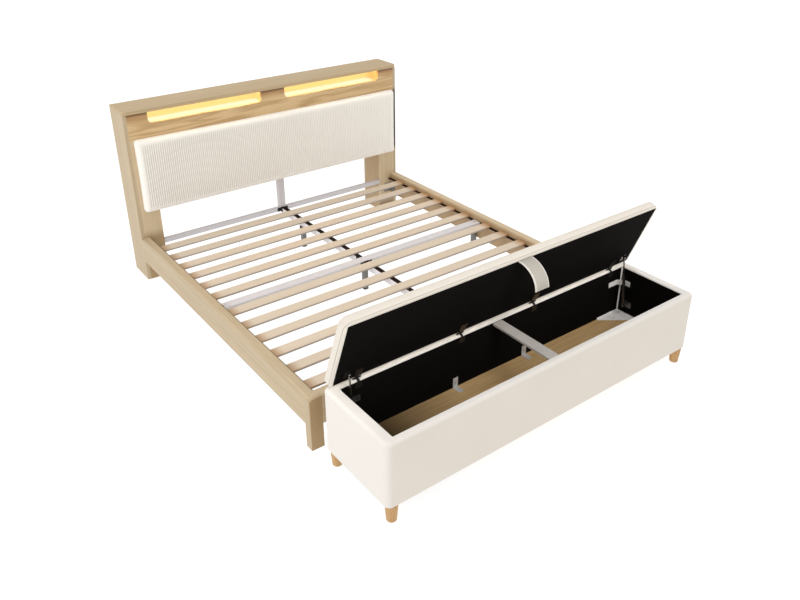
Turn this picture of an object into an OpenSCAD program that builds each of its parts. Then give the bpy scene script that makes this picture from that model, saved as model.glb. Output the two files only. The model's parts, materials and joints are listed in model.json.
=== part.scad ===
// Bed frame with a lit headboard, a slatted base and an upholstered chest at the foot.
// Millimetres, Z up. The origin is on the floor under the middle of the whole set.
// Inside the bed modules Y = 0 is the headboard's front face and the bed runs towards -Y.
// Inside the chest modules Y = 0 is the chest's rear face and the chest runs towards -Y.

/* [Bed frame] */
// Overall width over the side rails
bed_w = 2020; // [1700:10:2120]
// Length from the headboard's front face to the foot end
bed_len = 2092; // [1960:4:2180]
// Height of the rails' lower edge above the floor
rail_z = 133; // [110:1:150]
// Height of a rail board
rail_h = 165; // [150:1:190]
// Thickness of a side rail
rail_t = 52; // [40:1:60]
// Thickness of the foot rail, and depth of the foot legs
foot_t = 48; // [40:1:60]
// Width of a foot leg across the bed
foot_leg_w = 68; // [60:1:90]
// Rounding of the frame's outer top edges
rail_r = 17; // [8:1:24]

/* [Headboard] */
// Height of the headboard
head_h = 1134; // [1100:2:1200]
// Depth of the headboard from front to back
head_d = 220; // [180:2:260]
// Thickness of the top board
top_t = 22; // [18:1:28]
// How far the top board stands out in front
top_nose = 10; // [4:1:16]
// Plan radius of the top board's front corners
top_r = 22; // [8:1:30]
// Thickness of the two side boards
side_t = 22; // [18:1:26]
// Thickness of the other headboard boards
board_t = 18; // [12:1:20]
// Width of a headboard leg
head_leg_w = 145; // [120:1:180]
// Height of the fascia board below the top board
fascia_h = 162; // [140:2:190]
// Height of the box's underside
box_z = 480; // [440:2:520]

/* [Light recess] */
// Distance of each slot from the middle
slot_in = 88; // [60:2:120]
// Length of a slot
slot_w = 770; // [600:5:780]
// Height of a slot below the top board
slot_h = 73; // [50:1:95]
// Radius of the slots' lower corners
slot_r = 28; // [10:1:34]
// Depth of the tray behind a slot
tray_d = 92; // [60:2:120]
// Wall of the tray
tray_t = 6; // [4:1:8]
// Width of a light strip
led_w = 12; // [8:1:16]
// Thickness of a light strip
led_t = 6; // [4:1:8]

/* [Headboard cushion] */
// Width of the cushion
cushion_w = 1940; // [1600:10:1980]
// Height of the cushion
cushion_h = 475; // [440:5:490]
// Thickness of the cushion at its crown
cushion_d = 60; // [45:1:80]
// Number of upright ribs
rib_count = 84; // [40:2:84]
// Depth of the groove between two ribs
rib_depth = 3; // [1:0.5:5]

/* [Slat base] */
// Height of the slats' underside above the rails' lower edge
seat_up = 122; // [110:1:130]
// Width of a slat
slat_w = 68; // [50:1:80]
// Thickness of a slat
slat_t = 13; // [9:1:16]
// Slats in each half
slat_n = 6; // [4:1:7]
// Distance of the middle bar's centre from the headboard
mid_y = 1022; // [960:2:1060]
// Width of the middle bar
mid_w = 60; // [40:1:70]
// Height of the middle bar
mid_h = 40; // [30:1:50]
// Width of the centre beam
beam_w = 30; // [24:1:40]
// Height of the centre beam
beam_h = 42; // [30:1:50]
// Width of a side ledge
ledge_w = 24; // [20:1:30]
// Height of a side ledge
ledge_h = 10; // [8:1:34]
// Thickness of the slat holder straps
strap_t = 3; // [2:0.5:4]
// Wall of the steel tubes
tube_t = 2; // [1.5:0.5:3]
// Side of a square support leg
leg_w = 28; // [22:1:34]
// Height of a leg glide
glide_h = 8; // [5:1:12]
// How far the centre beam stands to the right of the middle
centre_off = 12; // [0:1:20]
// Height of the steel legs' lower ends above the floor
leg_low = 52; // [0:1:90]

/* [Chest] */
// Gap between the bed's foot end and the chest
chest_gap = 110; // [20:5:200]
// Width of the chest
chest_w = 2002; // [1700:2:2020]
// Depth of the chest
chest_d = 486; // [460:2:540]
// Height of the feet
feet_h = 90; // [60:1:110]
// Height of the rim above the floor
rim_z = 427; // [410:1:470]
// Thickness of the upholstered rear wall
wall_t = 52; // [46:1:56]
// Thickness of the upholstered end walls
side_wall = 56; // [50:1:60]
// Thickness of the upholstered front wall
front_wall = 40; // [36:1:52]
// Radius of the upright corners
chest_r = 12; // [9:1:30]
// Rounding of the rim's outer edge
rim_r = 16; // [10:1:24]
// Rounding of the rim's inner edge
rim_in_r = 6; // [4:1:9]
// Height of the bottom board's top face
floor_z = 139; // [125:1:150]
// Thickness of the bottom board
floor_t = 18; // [12:1:20]
// Thickness of the lining
lining_t = 2; // [1.5:0.5:3]
// Fabric left showing above the lining
lining_drop = 7; // [6:1:24]
// Width of the cross bar
bar_w = 60; // [40:1:70]
// Height of the cross bar
bar_h = 12; // [9:1:20]
// Depth of the cross bar's top below the rim
bar_drop = 8; // [8:1:30]
// How far the cross bar stands to the left of the middle
bar_off = 14; // [0:1:40]
// Radius of a foot at the top
foot_r = 19.5; // [15:0.5:22]
// Radius of a foot at the floor
foot_tip_r = 15.5; // [12:0.5:18]

/* [Lid] */
// Width of the lid
lid_w = 1986; // [1690:2:1990]
// Depth of the lid
lid_d = 421; // [410:1:430]
// Thickness of the lid
lid_t = 52; // [46:1:60]
// Distance of the lid's rear face from the chest's rear face
lid_rear = 50; // [49:0.5:51]
// Plan radius of the lid's front corners
lid_r = 38; // [15:1:44]
// Plan radius of the lid's rear corners, and rounding of its rear top edge
lid_rear_r = 8; // [4:1:20]
// Rounding of the lid's front and side top edges
lid_top_r = 16; // [12:1:24]
// Rounding of the lid's lower edges
lid_low_r = 10; // [9:0.5:12]
// Gap between the closed lid and the rim
lid_gap = 1; // [0.5:0.5:2]
// Angle between the open and the closed lid
lid_open = 68.7; // [60:0.1:75]
// Thickness of the lid's board
lid_board_t = 15; // [12:1:18]
// Thickness of the black dust cover under the board
panel_t = 3; // [2:0.5:4]
// Fabric border round the dust cover at the sides
border_side = 17; // [10:1:20]
// Fabric border at the hinge side
border_rear = 7; // [6:0.5:9]
// Fabric border at the free edge
border_front = 14; // [10:1:20]
// Width of the pull strap
pull_w = 90; // [60:2:100]
// Thickness of the pull strap
pull_t = 5; // [3:0.5:6]
// How far the pull strap reaches out
pull_out = 122; // [80:2:130]
// How far the pull strap hangs down
pull_down = 108; // [80:2:140]

/* [Hinges and struts] */
// Height of the hinge axis above the rim
axis_up = 6; // [6:0.5:7]
// Distance of the hinge axis from the chest's rear face
axis_in = 37; // [36:0.5:38]
// Radius of a hinge knuckle
knuckle_r = 5.5; // [5:0.5:5.5]
// Radius of a hinge pin
pin_r = 2.5; // [2:0.5:3]
// Distance of the inner hinges from the middle
hinge_in = 245; // [150:5:300]
// Distance of the outer hinges from the middle
hinge_out = 845; // [700:5:850]
// Gap between a strut's middle plane and the end wall
strut_off = 34; // [30:1:38]
// Distance of the struts' lower pivot from the chest's rear face
strut_low_y = 116; // [110:1:122]
// Height of the struts' lower pivot above the chest's bottom board
strut_low_up = 69; // [60:1:76]
// Distance of the struts' upper pivot from the hinge axis, along the lid
strut_arm = 76; // [70:1:82]
// Depth of the struts' upper pivot below the hinge axis, with the lid closed
strut_drop = 18.7; // [17:0.1:20]
// Outer radius of a strut's tube
strut_r = 9; // [8:0.5:10]
// Radius of a strut's rod
rod_r = 4; // [3:0.5:5]
// Length of a strut's tube above its lower pivot
strut_len = 178; // [160:1:182]
// Radial running clearance of pins and rods
run_gap = 0.05; // [0.03:0.01:0.1]

/* [Hidden] */
$fn = 48;

oak = [0.83, 0.74, 0.59];
birch = [0.90, 0.82, 0.70];
cream = [0.94, 0.92, 0.87];
steel_white = [0.86, 0.84, 0.85];
black = [0.08, 0.08, 0.08];
bronze = [0.22, 0.20, 0.18];

total_len = head_d + bed_len + chest_gap + chest_d;
head_y = total_len / 2 - head_d;            // headboard's front face in the part's frame
chest_y = head_y - bed_len - chest_gap;     // chest's rear face in the part's frame

bed_x = bed_w / 2;
rail_in = bed_x - rail_t;
rail_top = rail_z + rail_h;
foot_in = bed_len - foot_t;                 // foot rail's inner face
side_in = bed_x - side_t;
head_leg_in = bed_x - head_leg_w;
head_under = head_h - top_t;                // underside of the top board
back_y = head_d - board_t;
fascia_z = head_under - fascia_h;
slot_z = head_under - slot_h;

seat_z = rail_z + seat_up;                  // underside of the slats
hold_z = seat_z - strap_t;                  // top of the beam and the ledges
beam_low = hold_z - beam_h;
mid_low = seat_z - mid_h;
mid_rear = mid_y - mid_w / 2;
mid_front = mid_y + mid_w / 2;
head_bar_y = [5, 30];                       // head bar, behind the headboard's front face
head_bar_h = 30;
post_size = [45, 35];
plate_t = 4;                                // end plates of the middle bar
holder_w = 21;                              // side straps
slat_first_head = 149;                      // first slat's centre from the headboard
slat_last_head = 83;                        // last slat's centre from the middle bar
slat_first_foot = 76;
slat_last_foot = 96;
leg_y = 277;                                // first centre leg from the headboard
leg_mid_y = mid_y + 14;                     // centre leg under the middle bar
side_leg_x = rail_in - plate_t - leg_w / 2;
bracket_t = 3;
bracket_arm = 60;
bracket_h = 65;
bracket_z = rail_z + 17;
bolt_r = 6;
bolt_h = 4;

chest_x = chest_w / 2;
bay_x = chest_x - side_wall;                   // inner face of the end walls
bay_y = chest_d - front_wall;               // inner face of the front wall
bay_mid = (wall_t + bay_y) / 2;
line_x = bay_x - lining_t;
line_y = wall_t + lining_t;
lining_z = rim_z - lining_drop;
bar_top = rim_z - bar_drop;

lid_z = rim_z + lid_gap;                    // underside of the closed lid
lid_x = lid_w / 2;
lid_front = lid_rear + lid_d;
panel_x = lid_x - border_side;
panel_y = [lid_rear + border_rear, lid_front - border_front];
axis_z = rim_z + axis_up;
strut_x = line_x - strut_off + lining_t;    // middle plane of a strut
low_z = floor_z + strut_low_up;
top_shut = [axis_in + strut_arm, axis_z - strut_drop];      // upper pivot, lid closed
top_open = opened(top_shut);                                // upper pivot, lid open
strut_lean = atan2(strut_low_y - top_open[0], top_open[1] - low_z);
strut_reach = norm([strut_low_y - top_open[0], top_open[1] - low_z]);
eye_r = 8;
eye_w = 8;
rod_eye_r = 7;

// Where a point of the closed lid, given as depth from the rear face and height, lies when open
function opened(p) = let (u = axis_in - p[0], v = p[1] - axis_z)
    [axis_in - (u * cos(lid_open) + v * sin(lid_open)), axis_z - u * sin(lid_open) + v * cos(lid_open)];

// ---- placing -------------------------------------------------------------

module bed() translate([0, head_y, 0]) children();
module chest() translate([0, chest_y, 0]) children();
module lid() chest() translate([0, -axis_in, axis_z]) rotate([-lid_open, 0, 0])
    translate([0, axis_in, -axis_z]) children();
module both_sides() for (m = [0, 1]) mirror([m, 0, 0]) children();
module side(left) mirror([left ? 1 : 0, 0, 0]) children();
// Box between two values on each axis
module span(x, y, z) translate([x[0], y[0], z[0]]) cube([x[1] - x[0], y[1] - y[0], z[1] - z[0]]);
// Outline in Y and Z pushed along X, and outline in X and Z pushed along Y
module along_x(x) translate([x[0], 0, 0]) rotate([90, 0, 90]) linear_extrude(x[1] - x[0]) children();
module along_y(y) translate([0, y[1], 0]) rotate([90, 0, 0]) linear_extrude(y[1] - y[0]) children();
module pin_x(x, y, z, r) translate([x[0], y, z]) rotate([0, 90, 0]) cylinder(h = x[1] - x[0], r = r);
module pin_y(y, x, z, r) translate([x, y[1], z]) rotate([90, 0, 0]) cylinder(h = y[1] - y[0], r = r);

// Rectangle from a to b with one radius for its lower and one for its upper corners
module round_rect(a, b, low, top) {
    translate([a[0], a[1] + low]) square([b[0] - a[0], b[1] - a[1] - low - top]);
    translate([a[0] + low, a[1]]) square([b[0] - a[0] - 2 * low, 2 * low]);
    translate([a[0] + top, b[1] - 2 * top]) square([b[0] - a[0] - 2 * top, 2 * top]);
    for (x = [a[0] + low, b[0] - low]) translate([x, a[1] + low]) circle(low);
    for (x = [a[0] + top, b[0] - top]) translate([x, b[1] - top]) circle(top);
}

// Block rounded in plan and along its lower and upper edges
module soft_block(x, y, z, plan, low, top, ends = true) intersection() {
    translate([0, 0, z[0]]) linear_extrude(z[1] - z[0])
        round_rect([x[0], y[0]], [x[1], y[1]], plan[0], plan[1]);
    if (ends) along_x(x) round_rect([y[0], z[0]], [y[1], z[1]], low, top);
    along_y(y) round_rect([x[0], z[0]], [x[1], z[1]], low, top);
}

// Square tube along Y, open at its ends
module tube_y(x, y, z) difference() {
    span(x, y, z);
    span([x[0] + tube_t, x[1] - tube_t], [y[0] - 1, y[1] + 1], [z[0] + tube_t, z[1] - tube_t]);
}

// Square tube along X, open at its ends
module tube_x(x, y, z) difference() {
    span(x, y, z);
    span([x[0] - 1, x[1] + 1], [y[0] + tube_t, y[1] - tube_t], [z[0] + tube_t, z[1] - tube_t]);
}

// ---- headboard -----------------------------------------------------------

module head_top() color(oak) bed() translate([0, 0, head_under]) linear_extrude(top_t) union() {
    translate([-bed_x, top_r - top_nose]) square([bed_w, head_d + top_nose - top_r]);
    translate([top_r - bed_x, -top_nose]) square([bed_w - 2 * top_r, 2 * top_r]);
    for (x = [top_r - bed_x, bed_x - top_r]) translate([x, top_r - top_nose]) circle(top_r);
}

// The fascia: a board under the slots, posts between them and the slots' rounded lower corners
module head_fascia() color(oak) bed() span([-side_in, side_in], [0, board_t], [fascia_z, slot_z]);

module fascia_posts() color(oak) bed() {
    span([-slot_in, slot_in], [0, board_t], [slot_z, head_under]);
    both_sides() span([slot_in + slot_w, side_in], [0, board_t], [slot_z, head_under]);
}

module slot_corner(x, out) along_y([0, board_t]) translate([x, slot_z]) difference() {
    translate([out > 0 ? 0 : -slot_r, 0]) square(slot_r);
    translate([out * slot_r, slot_r]) circle(slot_r);
}
module slot_corners() color(oak) bed() both_sides() {
    slot_corner(slot_in, 1);
    slot_corner(slot_in + slot_w, -1);
}

module head_side() color(oak) bed() span([side_in, bed_x], [0, head_d], [0, head_under]);
module leg_front_panels() color(oak) bed() both_sides()
    span([head_leg_in, side_in], [0, board_t], [0, fascia_z]);
module head_side_left() side(true) head_side();
module head_side_right() side(false) head_side();

module leg_inner_panels() color(oak) bed() both_sides()
    span([head_leg_in, head_leg_in + board_t], [board_t, back_y], [0, box_z]);

module leg_back_panels() color(oak) bed() both_sides()
    span([head_leg_in, side_in], [back_y, head_d], [0, box_z]);

module head_back() color(oak) bed() span([-side_in, side_in], [back_y, head_d], [box_z, head_under]);

module head_bottom() color(oak) bed()
    span([-side_in, side_in], [board_t, back_y], [box_z, box_z + board_t]);

module cushion_board() color(oak) bed()
    span([-head_leg_in, head_leg_in], [0, board_t], [box_z - 4, fascia_z]);

// Trough behind a slot: floor, rear wall and two ends
module light_tray() color([0.99, 0.93, 0.76]) bed() difference() {
    span([slot_in - tray_t, slot_in + slot_w + tray_t], [board_t, board_t + tray_d],
        [slot_z - tray_t, head_under]);
    span([slot_in, slot_in + slot_w], [board_t - 1, board_t + tray_d - tray_t], [slot_z, head_under + 1]);
}
module light_tray_left() side(true) light_tray();
module light_tray_right() side(false) light_tray();

module led_strips() color([1, 0.9, 0.62]) bed() both_sides()
    span([slot_in + 8, slot_in + slot_w - 8], [board_t + 12, board_t + 12 + led_w],
        [head_under - led_t, head_under]);

// Headboard cushion: crowned front with upright ribs inside a smooth border
border = 40;                                // smooth band round the ribs
edge_d = 0.56;                              // share of the depth left at the outer edge
cols = 2 * rib_count + 4;
rows = 4;
cushion_z = fascia_z + 5 - cushion_h;
draw_in = 3;                                // how far the sides pull in between the corners
back_in = 4;                                // how far the rear outline lies inside the front one
function col_x(i) = i == 0 ? 0 : i == cols ? cushion_w :
    border + (cushion_w - 2 * border) * (i - 1) / (cols - 2);
function row_z(j) = [0, border, cushion_h / 2, cushion_h - border, cushion_h][j];
function bow(t) = 4 * t * (1 - t);
function ribbed(i, j) = i > 1 && i < cols - 1 && j > 0 && j < rows && i % 2 == 0;
function crest(i, j) = (i == 0 || i == cols || j == 0 || j == rows) ? edge_d * cushion_d :
    cushion_d - (j == rows / 2 ? 0 : 4) - (i == 1 || i == cols - 1 ? 3 : 0)
    - (ribbed(i, j) ? rib_depth : 0);
function squeeze(i, j, in) = let (x = col_x(i), z = row_z(j), dx = (draw_in * bow(z / cushion_h) + in),
        dz = (draw_in * bow(x / cushion_w) + in))
    [x + (i == 0 ? dx : i == cols ? -dx : 0), z + (j == 0 ? dz : j == rows ? -dz : 0)];
function front_at(i, j) = i * (rows + 1) + j;
rim_walk = concat([for (i = [0:cols]) [i, 0]], [for (j = [1:rows]) [cols, j]],
    [for (i = [cols - 1:-1:0]) [i, rows]], [for (j = [rows - 1:-1:1]) [0, j]]);
front_n = (cols + 1) * (rows + 1);
walk_n = len(rim_walk);
function walk_front(k) = front_at(rim_walk[k % walk_n][0], rim_walk[k % walk_n][1]);
function walk_back(k) = front_n + k % walk_n;

module head_cushion() color(cream) bed() translate([-cushion_w / 2, 0, cushion_z]) polyhedron(
    points = concat(
        [for (i = [0:cols]) for (j = [0:rows]) let (p = squeeze(i, j, 0)) [p[0], -crest(i, j), p[1]]],
        [for (w = rim_walk) let (p = squeeze(w[0], w[1], back_in)) [p[0], 0, p[1]]]),
    faces = concat(
        [for (i = [0:cols - 1]) for (j = [0:rows - 1])
            [front_at(i, j), front_at(i, j + 1), front_at(i + 1, j + 1)]],
        [for (i = [0:cols - 1]) for (j = [0:rows - 1])
            [front_at(i, j), front_at(i + 1, j + 1), front_at(i + 1, j)]],
        [for (k = [0:walk_n - 1]) [walk_front(k), walk_front(k + 1), walk_back(k + 1)]],
        [for (k = [0:walk_n - 1]) [walk_front(k), walk_back(k + 1), walk_back(k)]],
        [[for (k = [0:walk_n - 1]) walk_back(k)]]));

module centre_post() color(steel_white) bed() translate([centre_off, 0, 0]) difference() {
    span([-post_size[0] / 2, post_size[0] / 2], [0, post_size[1]], [seat_z, box_z - 4]);
    span([tube_t - post_size[0] / 2, post_size[0] / 2 - tube_t], [tube_t, post_size[1] - tube_t],
        [seat_z - 1, box_z + 1]);
}

module head_bar() color(steel_white) bed()
    tube_x([-head_leg_in, head_leg_in], head_bar_y, [seat_z - head_bar_h, seat_z]);

// ---- rails and foot end --------------------------------------------------

// What a rounding takes off an edge that points to +x and +z
module edge_waste(r) difference() {
    translate([-r, -r]) square(r + 1);
    translate([-r, -r]) circle(r);
}

module side_rail() color(oak) bed() difference() {
    span([rail_in, bed_x], [-foot_in, 0], [rail_z, rail_top]);
    along_y([-foot_in - 1, 1]) translate([bed_x, rail_top]) edge_waste(rail_r);
}
module rail_left() side(true) side_rail();
module rail_right() side(false) side_rail();

module foot_rail() color(oak) bed() difference() {
    span([foot_leg_w - bed_x, bed_x - foot_leg_w], [-bed_len, -foot_in], [rail_z, rail_top]);
    along_x([-bed_x, bed_x]) translate([-bed_len, rail_top]) mirror([1, 0]) edge_waste(rail_r);
}

module foot_leg() color(oak) bed() difference() {
    span([bed_x - foot_leg_w, bed_x], [-bed_len, -foot_in], [0, rail_top]);
    along_y([-bed_len - 1, 1 - foot_in]) translate([bed_x, rail_top]) edge_waste(rail_r);
    along_x([bed_x - foot_leg_w - 1, bed_x + 1]) translate([-bed_len, rail_top]) mirror([1, 0])
        edge_waste(rail_r);
    translate([0, 0, rail_top - rail_r]) linear_extrude(rail_r + 1) translate([bed_x, -bed_len])
        mirror([0, 1]) edge_waste(rail_r);
}
module foot_leg_left() side(true) foot_leg();
module foot_leg_right() side(false) foot_leg();

// ---- slat base -----------------------------------------------------------

plate_gap = 2;
ledge_runs = [[-mid_rear + 18, -plate_gap], [-foot_in + plate_gap, -mid_front - 18]];
module side_ledges() color(steel_white) bed() both_sides() for (run = ledge_runs)
    tube_y([rail_in - ledge_w, rail_in], run, [hold_z - ledge_h, hold_z]);

module slat_straps() color(black) bed() {
    both_sides() for (run = ledge_runs)
        span([rail_in - holder_w - 1, rail_in - 1], run, [hold_z, seat_z]);
    for (run = [[-mid_rear, head_bar_y[0]], [-foot_in, -mid_front]])
        span([centre_off - beam_w / 2, centre_off + beam_w / 2], run, [hold_z, seat_z]);
}

module beam(run) color(steel_white) bed()
    tube_y([centre_off - beam_w / 2, centre_off + beam_w / 2], run, [beam_low, hold_z]);
module beam_head() beam([-mid_rear, head_bar_y[0]]);
module beam_foot() beam([-foot_in, -mid_front]);

module mid_bar() color(steel_white) bed()
    tube_x([plate_t - rail_in, rail_in - plate_t], [-mid_front, -mid_rear], [mid_low, seat_z]);

// [x, y, top] of each steel leg
leg_spots = [[centre_off, leg_y, beam_low], [centre_off, 2 * mid_y - leg_y, beam_low],
    [centre_off, leg_mid_y, mid_low], [side_leg_x, mid_y - leg_w / 2, mid_low],
    [-side_leg_x, mid_y - leg_w / 2, mid_low]];
module leg_tube(z) difference() {
    span([-leg_w / 2, leg_w / 2], [-leg_w / 2, leg_w / 2], z);
    span([tube_t - leg_w / 2, leg_w / 2 - tube_t], [tube_t - leg_w / 2, leg_w / 2 - tube_t],
        [z[0] - 1, z[1] + 1]);
}
module support_legs() color([0.55, 0.56, 0.58]) bed() {
    for (s = leg_spots) translate([s[0], -s[1], 0]) leg_tube([leg_low + glide_h, s[2]]);
}

module leg_glides() color(black) bed() for (s = leg_spots) translate([s[0], -s[1], 0])
    span([-leg_w / 2, leg_w / 2], [-leg_w / 2, leg_w / 2], [leg_low, leg_low + glide_h]);

// Angle pieces that hold the beam to the bars, and the middle bar's end plates
angle_arm = 26;
angle_t = 3;
module beam_angle() {
    span([beam_w / 2, beam_w / 2 + angle_t], [-angle_arm, 0], [beam_low + 4, hold_z]);
    span([beam_w / 2, beam_w / 2 + angle_arm], [-angle_t, 0], [mid_low + 2, hold_z]);
}
// Collar round the top of a leg under the beam
collar_t = 3;
collar_h = 26;
module leg_collar() difference() {
    span([-leg_w / 2 - collar_t, leg_w / 2 + collar_t], [-leg_w / 2 - collar_t, leg_w / 2 + collar_t],
        [beam_low - collar_h, beam_low]);
    span([-leg_w / 2, leg_w / 2], [-leg_w / 2, leg_w / 2], [beam_low - collar_h - 1, beam_low + 1]);
}
module beam_brackets() color(black) bed() {
    translate([centre_off, 0, 0]) both_sides() {
        translate([0, head_bar_y[0], 0]) intersection() {
            beam_angle();
            span([0, 100], [-100, 0], [seat_z - head_bar_h, seat_z]);
        }
        translate([0, -mid_front, 0]) beam_angle();
        translate([0, -mid_rear, 0]) mirror([0, 1, 0]) beam_angle();
        translate([0, -foot_in, 0]) mirror([0, 1, 0]) beam_angle();
    }
    for (k = [0, 1]) translate([leg_spots[k][0], -leg_spots[k][1], 0]) leg_collar();
    both_sides() span([rail_in - plate_t, rail_in], [-mid_front - 16, 16 - mid_rear], [mid_low, seat_z]);
}

// Corner irons between the side rails and the two ends
module corner_iron() {
    span([rail_in - bracket_t, rail_in], [-bracket_arm, 0], [bracket_z, bracket_z + bracket_h]);
    span([rail_in - bracket_arm, rail_in - bracket_t], [-bracket_t, 0], [bracket_z, bracket_z + bracket_h]);
}
module rail_brackets() color([0.3, 0.3, 0.3]) bed() both_sides() {
    corner_iron();
    translate([0, -foot_in, 0]) mirror([0, 1, 0]) corner_iron();
}

module iron_bolts() for (dz = [18, bracket_h - 18]) translate([0, 0, bracket_z + dz]) {
    pin_x([rail_in - bracket_t - bolt_h, rail_in - bracket_t], -bracket_arm / 2 - 6, 0, bolt_r);
    pin_y([-bracket_t - bolt_h, -bracket_t], rail_in - bracket_arm / 2 - 6, 0, bolt_r);
}
module frame_bolts() color([0.5, 0.5, 0.5]) bed() both_sides() {
    iron_bolts();
    translate([0, -foot_in, 0]) mirror([0, 1, 0]) iron_bolts();
    translate([rail_in - 28, -mid_y, seat_z]) cylinder(h = bolt_h, r = bolt_r);
    for (y = [-mid_front - 9, 9 - mid_rear])
        pin_x([rail_in - plate_t - bolt_h, rail_in - plate_t], y, seat_z - 14, bolt_r);
}

module slat(y) span([1 - rail_in, rail_in - 1], [y - slat_w / 2, y + slat_w / 2], [seat_z, seat_z + slat_t]);
head_step = (mid_rear - slat_first_head - slat_last_head) / (slat_n - 1);
foot_step = (foot_in - mid_front - slat_first_foot - slat_last_foot) / (slat_n - 1);
module slats_head() color(birch) bed() for (k = [0:slat_n - 1]) slat(-slat_first_head - k * head_step);
module slats_foot() color(birch) bed() for (k = [0:slat_n - 1])
    slat(-mid_front - slat_first_foot - k * foot_step);

// ---- chest ---------------------------------------------------------------

module chest_block() soft_block([-chest_x, chest_x], [-chest_d, 0], [feet_h, rim_z], [chest_r, chest_r],
    8, rim_r);

// The bay, with the rounding of the rim's inner edge
module chest_bay() {
    span([-bay_x, bay_x], [-bay_y, -wall_t], [feet_h - 1, rim_z + 1]);
    along_x([-bay_x, bay_x]) {
        translate([-wall_t, rim_z]) bay_edge();
        translate([-bay_y, rim_z]) mirror([1, 0]) bay_edge();
    }
    along_y([-bay_y, -wall_t]) {
        translate([bay_x, rim_z]) bay_edge();
        translate([-bay_x, rim_z]) mirror([1, 0]) bay_edge();
    }
}
module bay_edge() difference() {
    translate([-1, -rim_in_r]) square([rim_in_r + 1, rim_in_r + 1]);
    translate([rim_in_r, -rim_in_r]) circle(rim_in_r);
}
module chest_wall(x, y) color(cream) chest() difference() {
    intersection() {
        chest_block();
        span(x, y, [0, rim_z + 1]);
    }
    chest_bay();
}
module chest_front() chest_wall([-chest_x, chest_x], [-chest_d, -bay_y]);
module chest_rear() chest_wall([-chest_x, chest_x], [-wall_t, 0]);
module chest_right() chest_wall([bay_x, chest_x], [-bay_y, -wall_t]);
module chest_left() chest_wall([-chest_x, -bay_x], [-bay_y, -wall_t]);

module chest_lining() color(black) chest() difference() {
    span([-bay_x, bay_x], [-bay_y, -wall_t], [floor_z, lining_z]);
    span([-line_x, line_x], [lining_t - bay_y, -line_y], [floor_z - 1, lining_z + 1]);
}

module chest_floor() color(oak) chest()
    span([-bay_x, bay_x], [-bay_y, -wall_t], [floor_z - floor_t, floor_z]);

groove_n = 5;
module chest_bar() color(steel_white) chest() translate([-bar_off, 0, 0]) difference() {
    span([-bar_w / 2, bar_w / 2], [lining_t - bay_y, -line_y], [bar_top - bar_h, bar_top]);
    span([3 - bar_w / 2, bar_w / 2 - 3], [-bay_y, -wall_t], [bar_top - bar_h + 2, bar_top - 4]);
    for (k = [1:groove_n]) translate([bar_w * (k / (groove_n + 1) - 0.5), 0, 0])
        span([-1, 1], [-bay_y, -wall_t], [bar_top - 1.5, bar_top + 1]);
}

module chest_feet() color([0.80, 0.64, 0.42]) chest() both_sides() for (y = [-28, 28 - chest_d])
    translate([chest_x - 28, y, 0]) cylinder(h = feet_h, r1 = foot_tip_r, r2 = foot_r);

// Moves its children, drawn in the rear right inner corner, to all four corners of the bay
module in_corners() for (m = [0, 1]) translate([0, -bay_mid, 0]) mirror([0, m, 0])
    translate([0, bay_mid, 0]) both_sides() translate([line_x, -line_y, 0]) children();

// Angles that hold the bottom board to the front and rear walls
angle_w = 30;
angle_up = 56;
angle_out = 50;
angle_spots = [-280, 190];                  // left and right pair, from the middle
module floor_angle() difference() {
    union() {
        span([-angle_w / 2, angle_w / 2], [-bracket_t, 0], [floor_z, floor_z + angle_up]);
        span([-angle_w / 2, angle_w / 2], [-angle_out, 0], [floor_z, floor_z + bracket_t]);
    }
    pin_y([-bracket_t - 1, 1], 0, floor_z + 26, 4);
    translate([0, -angle_out * 0.55, floor_z - 1]) cylinder(h = bracket_t + 2, r = 4);
}
module floor_brackets() color(steel_white) chest() for (x = angle_spots) for (m = [0, 1])
    translate([x, -bay_mid, 0]) mirror([0, m, 0]) translate([0, bay_mid - line_y, 0]) floor_angle();

corner_x = 173;
corner_y = 128;
flange_h = 10;
module corner_plates() color(steel_white) chest() in_corners() translate([0, 0, floor_z]) difference() {
    union() {
        linear_extrude(2.5)
            polygon([[0, 0], [-corner_x, 0], [-corner_x, -12], [-14, -corner_y], [0, -corner_y]]);
        span([-corner_x, 0], [-2, 0], [0, flange_h]);
        span([-2, 0], [-corner_y, 0], [0, flange_h]);
    }
    translate([-82, -44, -1]) cylinder(h = 5, r = 6);
}

strip_w = 6;
module corner_strips() color(steel_white) chest() in_corners() {
    span([-strip_w, 0], [-1.5, 0], [floor_z + flange_h + 0.5, lining_z - 1]);
    span([-1.5, 0], [-strip_w, -1.5], [floor_z + flange_h + 0.5, lining_z - 1]);
}

brace_z = 181;
brace_h = 30;
brace_long = 103;                           // reach along the rear or front wall
brace_short = 67;                           // reach along the end wall
brace_cut = 32;                             // distance of the slanting part from the corner
module corner_braces() color(steel_white) chest() in_corners() translate([0, 0, floor_z + brace_z])
difference() {
    union() {
        span([-brace_long, -brace_cut], [-bracket_t, 0], [0, brace_h]);
        span([-bracket_t, 0], [-brace_short, -brace_cut], [0, brace_h]);
        linear_extrude(brace_h) polygon([[-brace_cut - 4, 0], [-brace_cut, 0],
            [0, -brace_cut], [0, -brace_cut - 4]]);
    }
    for (x = [-88, -80]) pin_y([-bracket_t - 1, 1], x, brace_h / 2, 3);
    pin_x([-bracket_t - 1, 1], -54, brace_h / 2, 4);
}

// ---- hinges --------------------------------------------------------------

hinge_spots = [-hinge_out, -hinge_in, hinge_in, hinge_out];
tongue_w = 14;
leaf_w = 40;
leaf_t = 1.5;
leaf_low = rim_z - 39;
fork_gap = 0.5;

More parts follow.
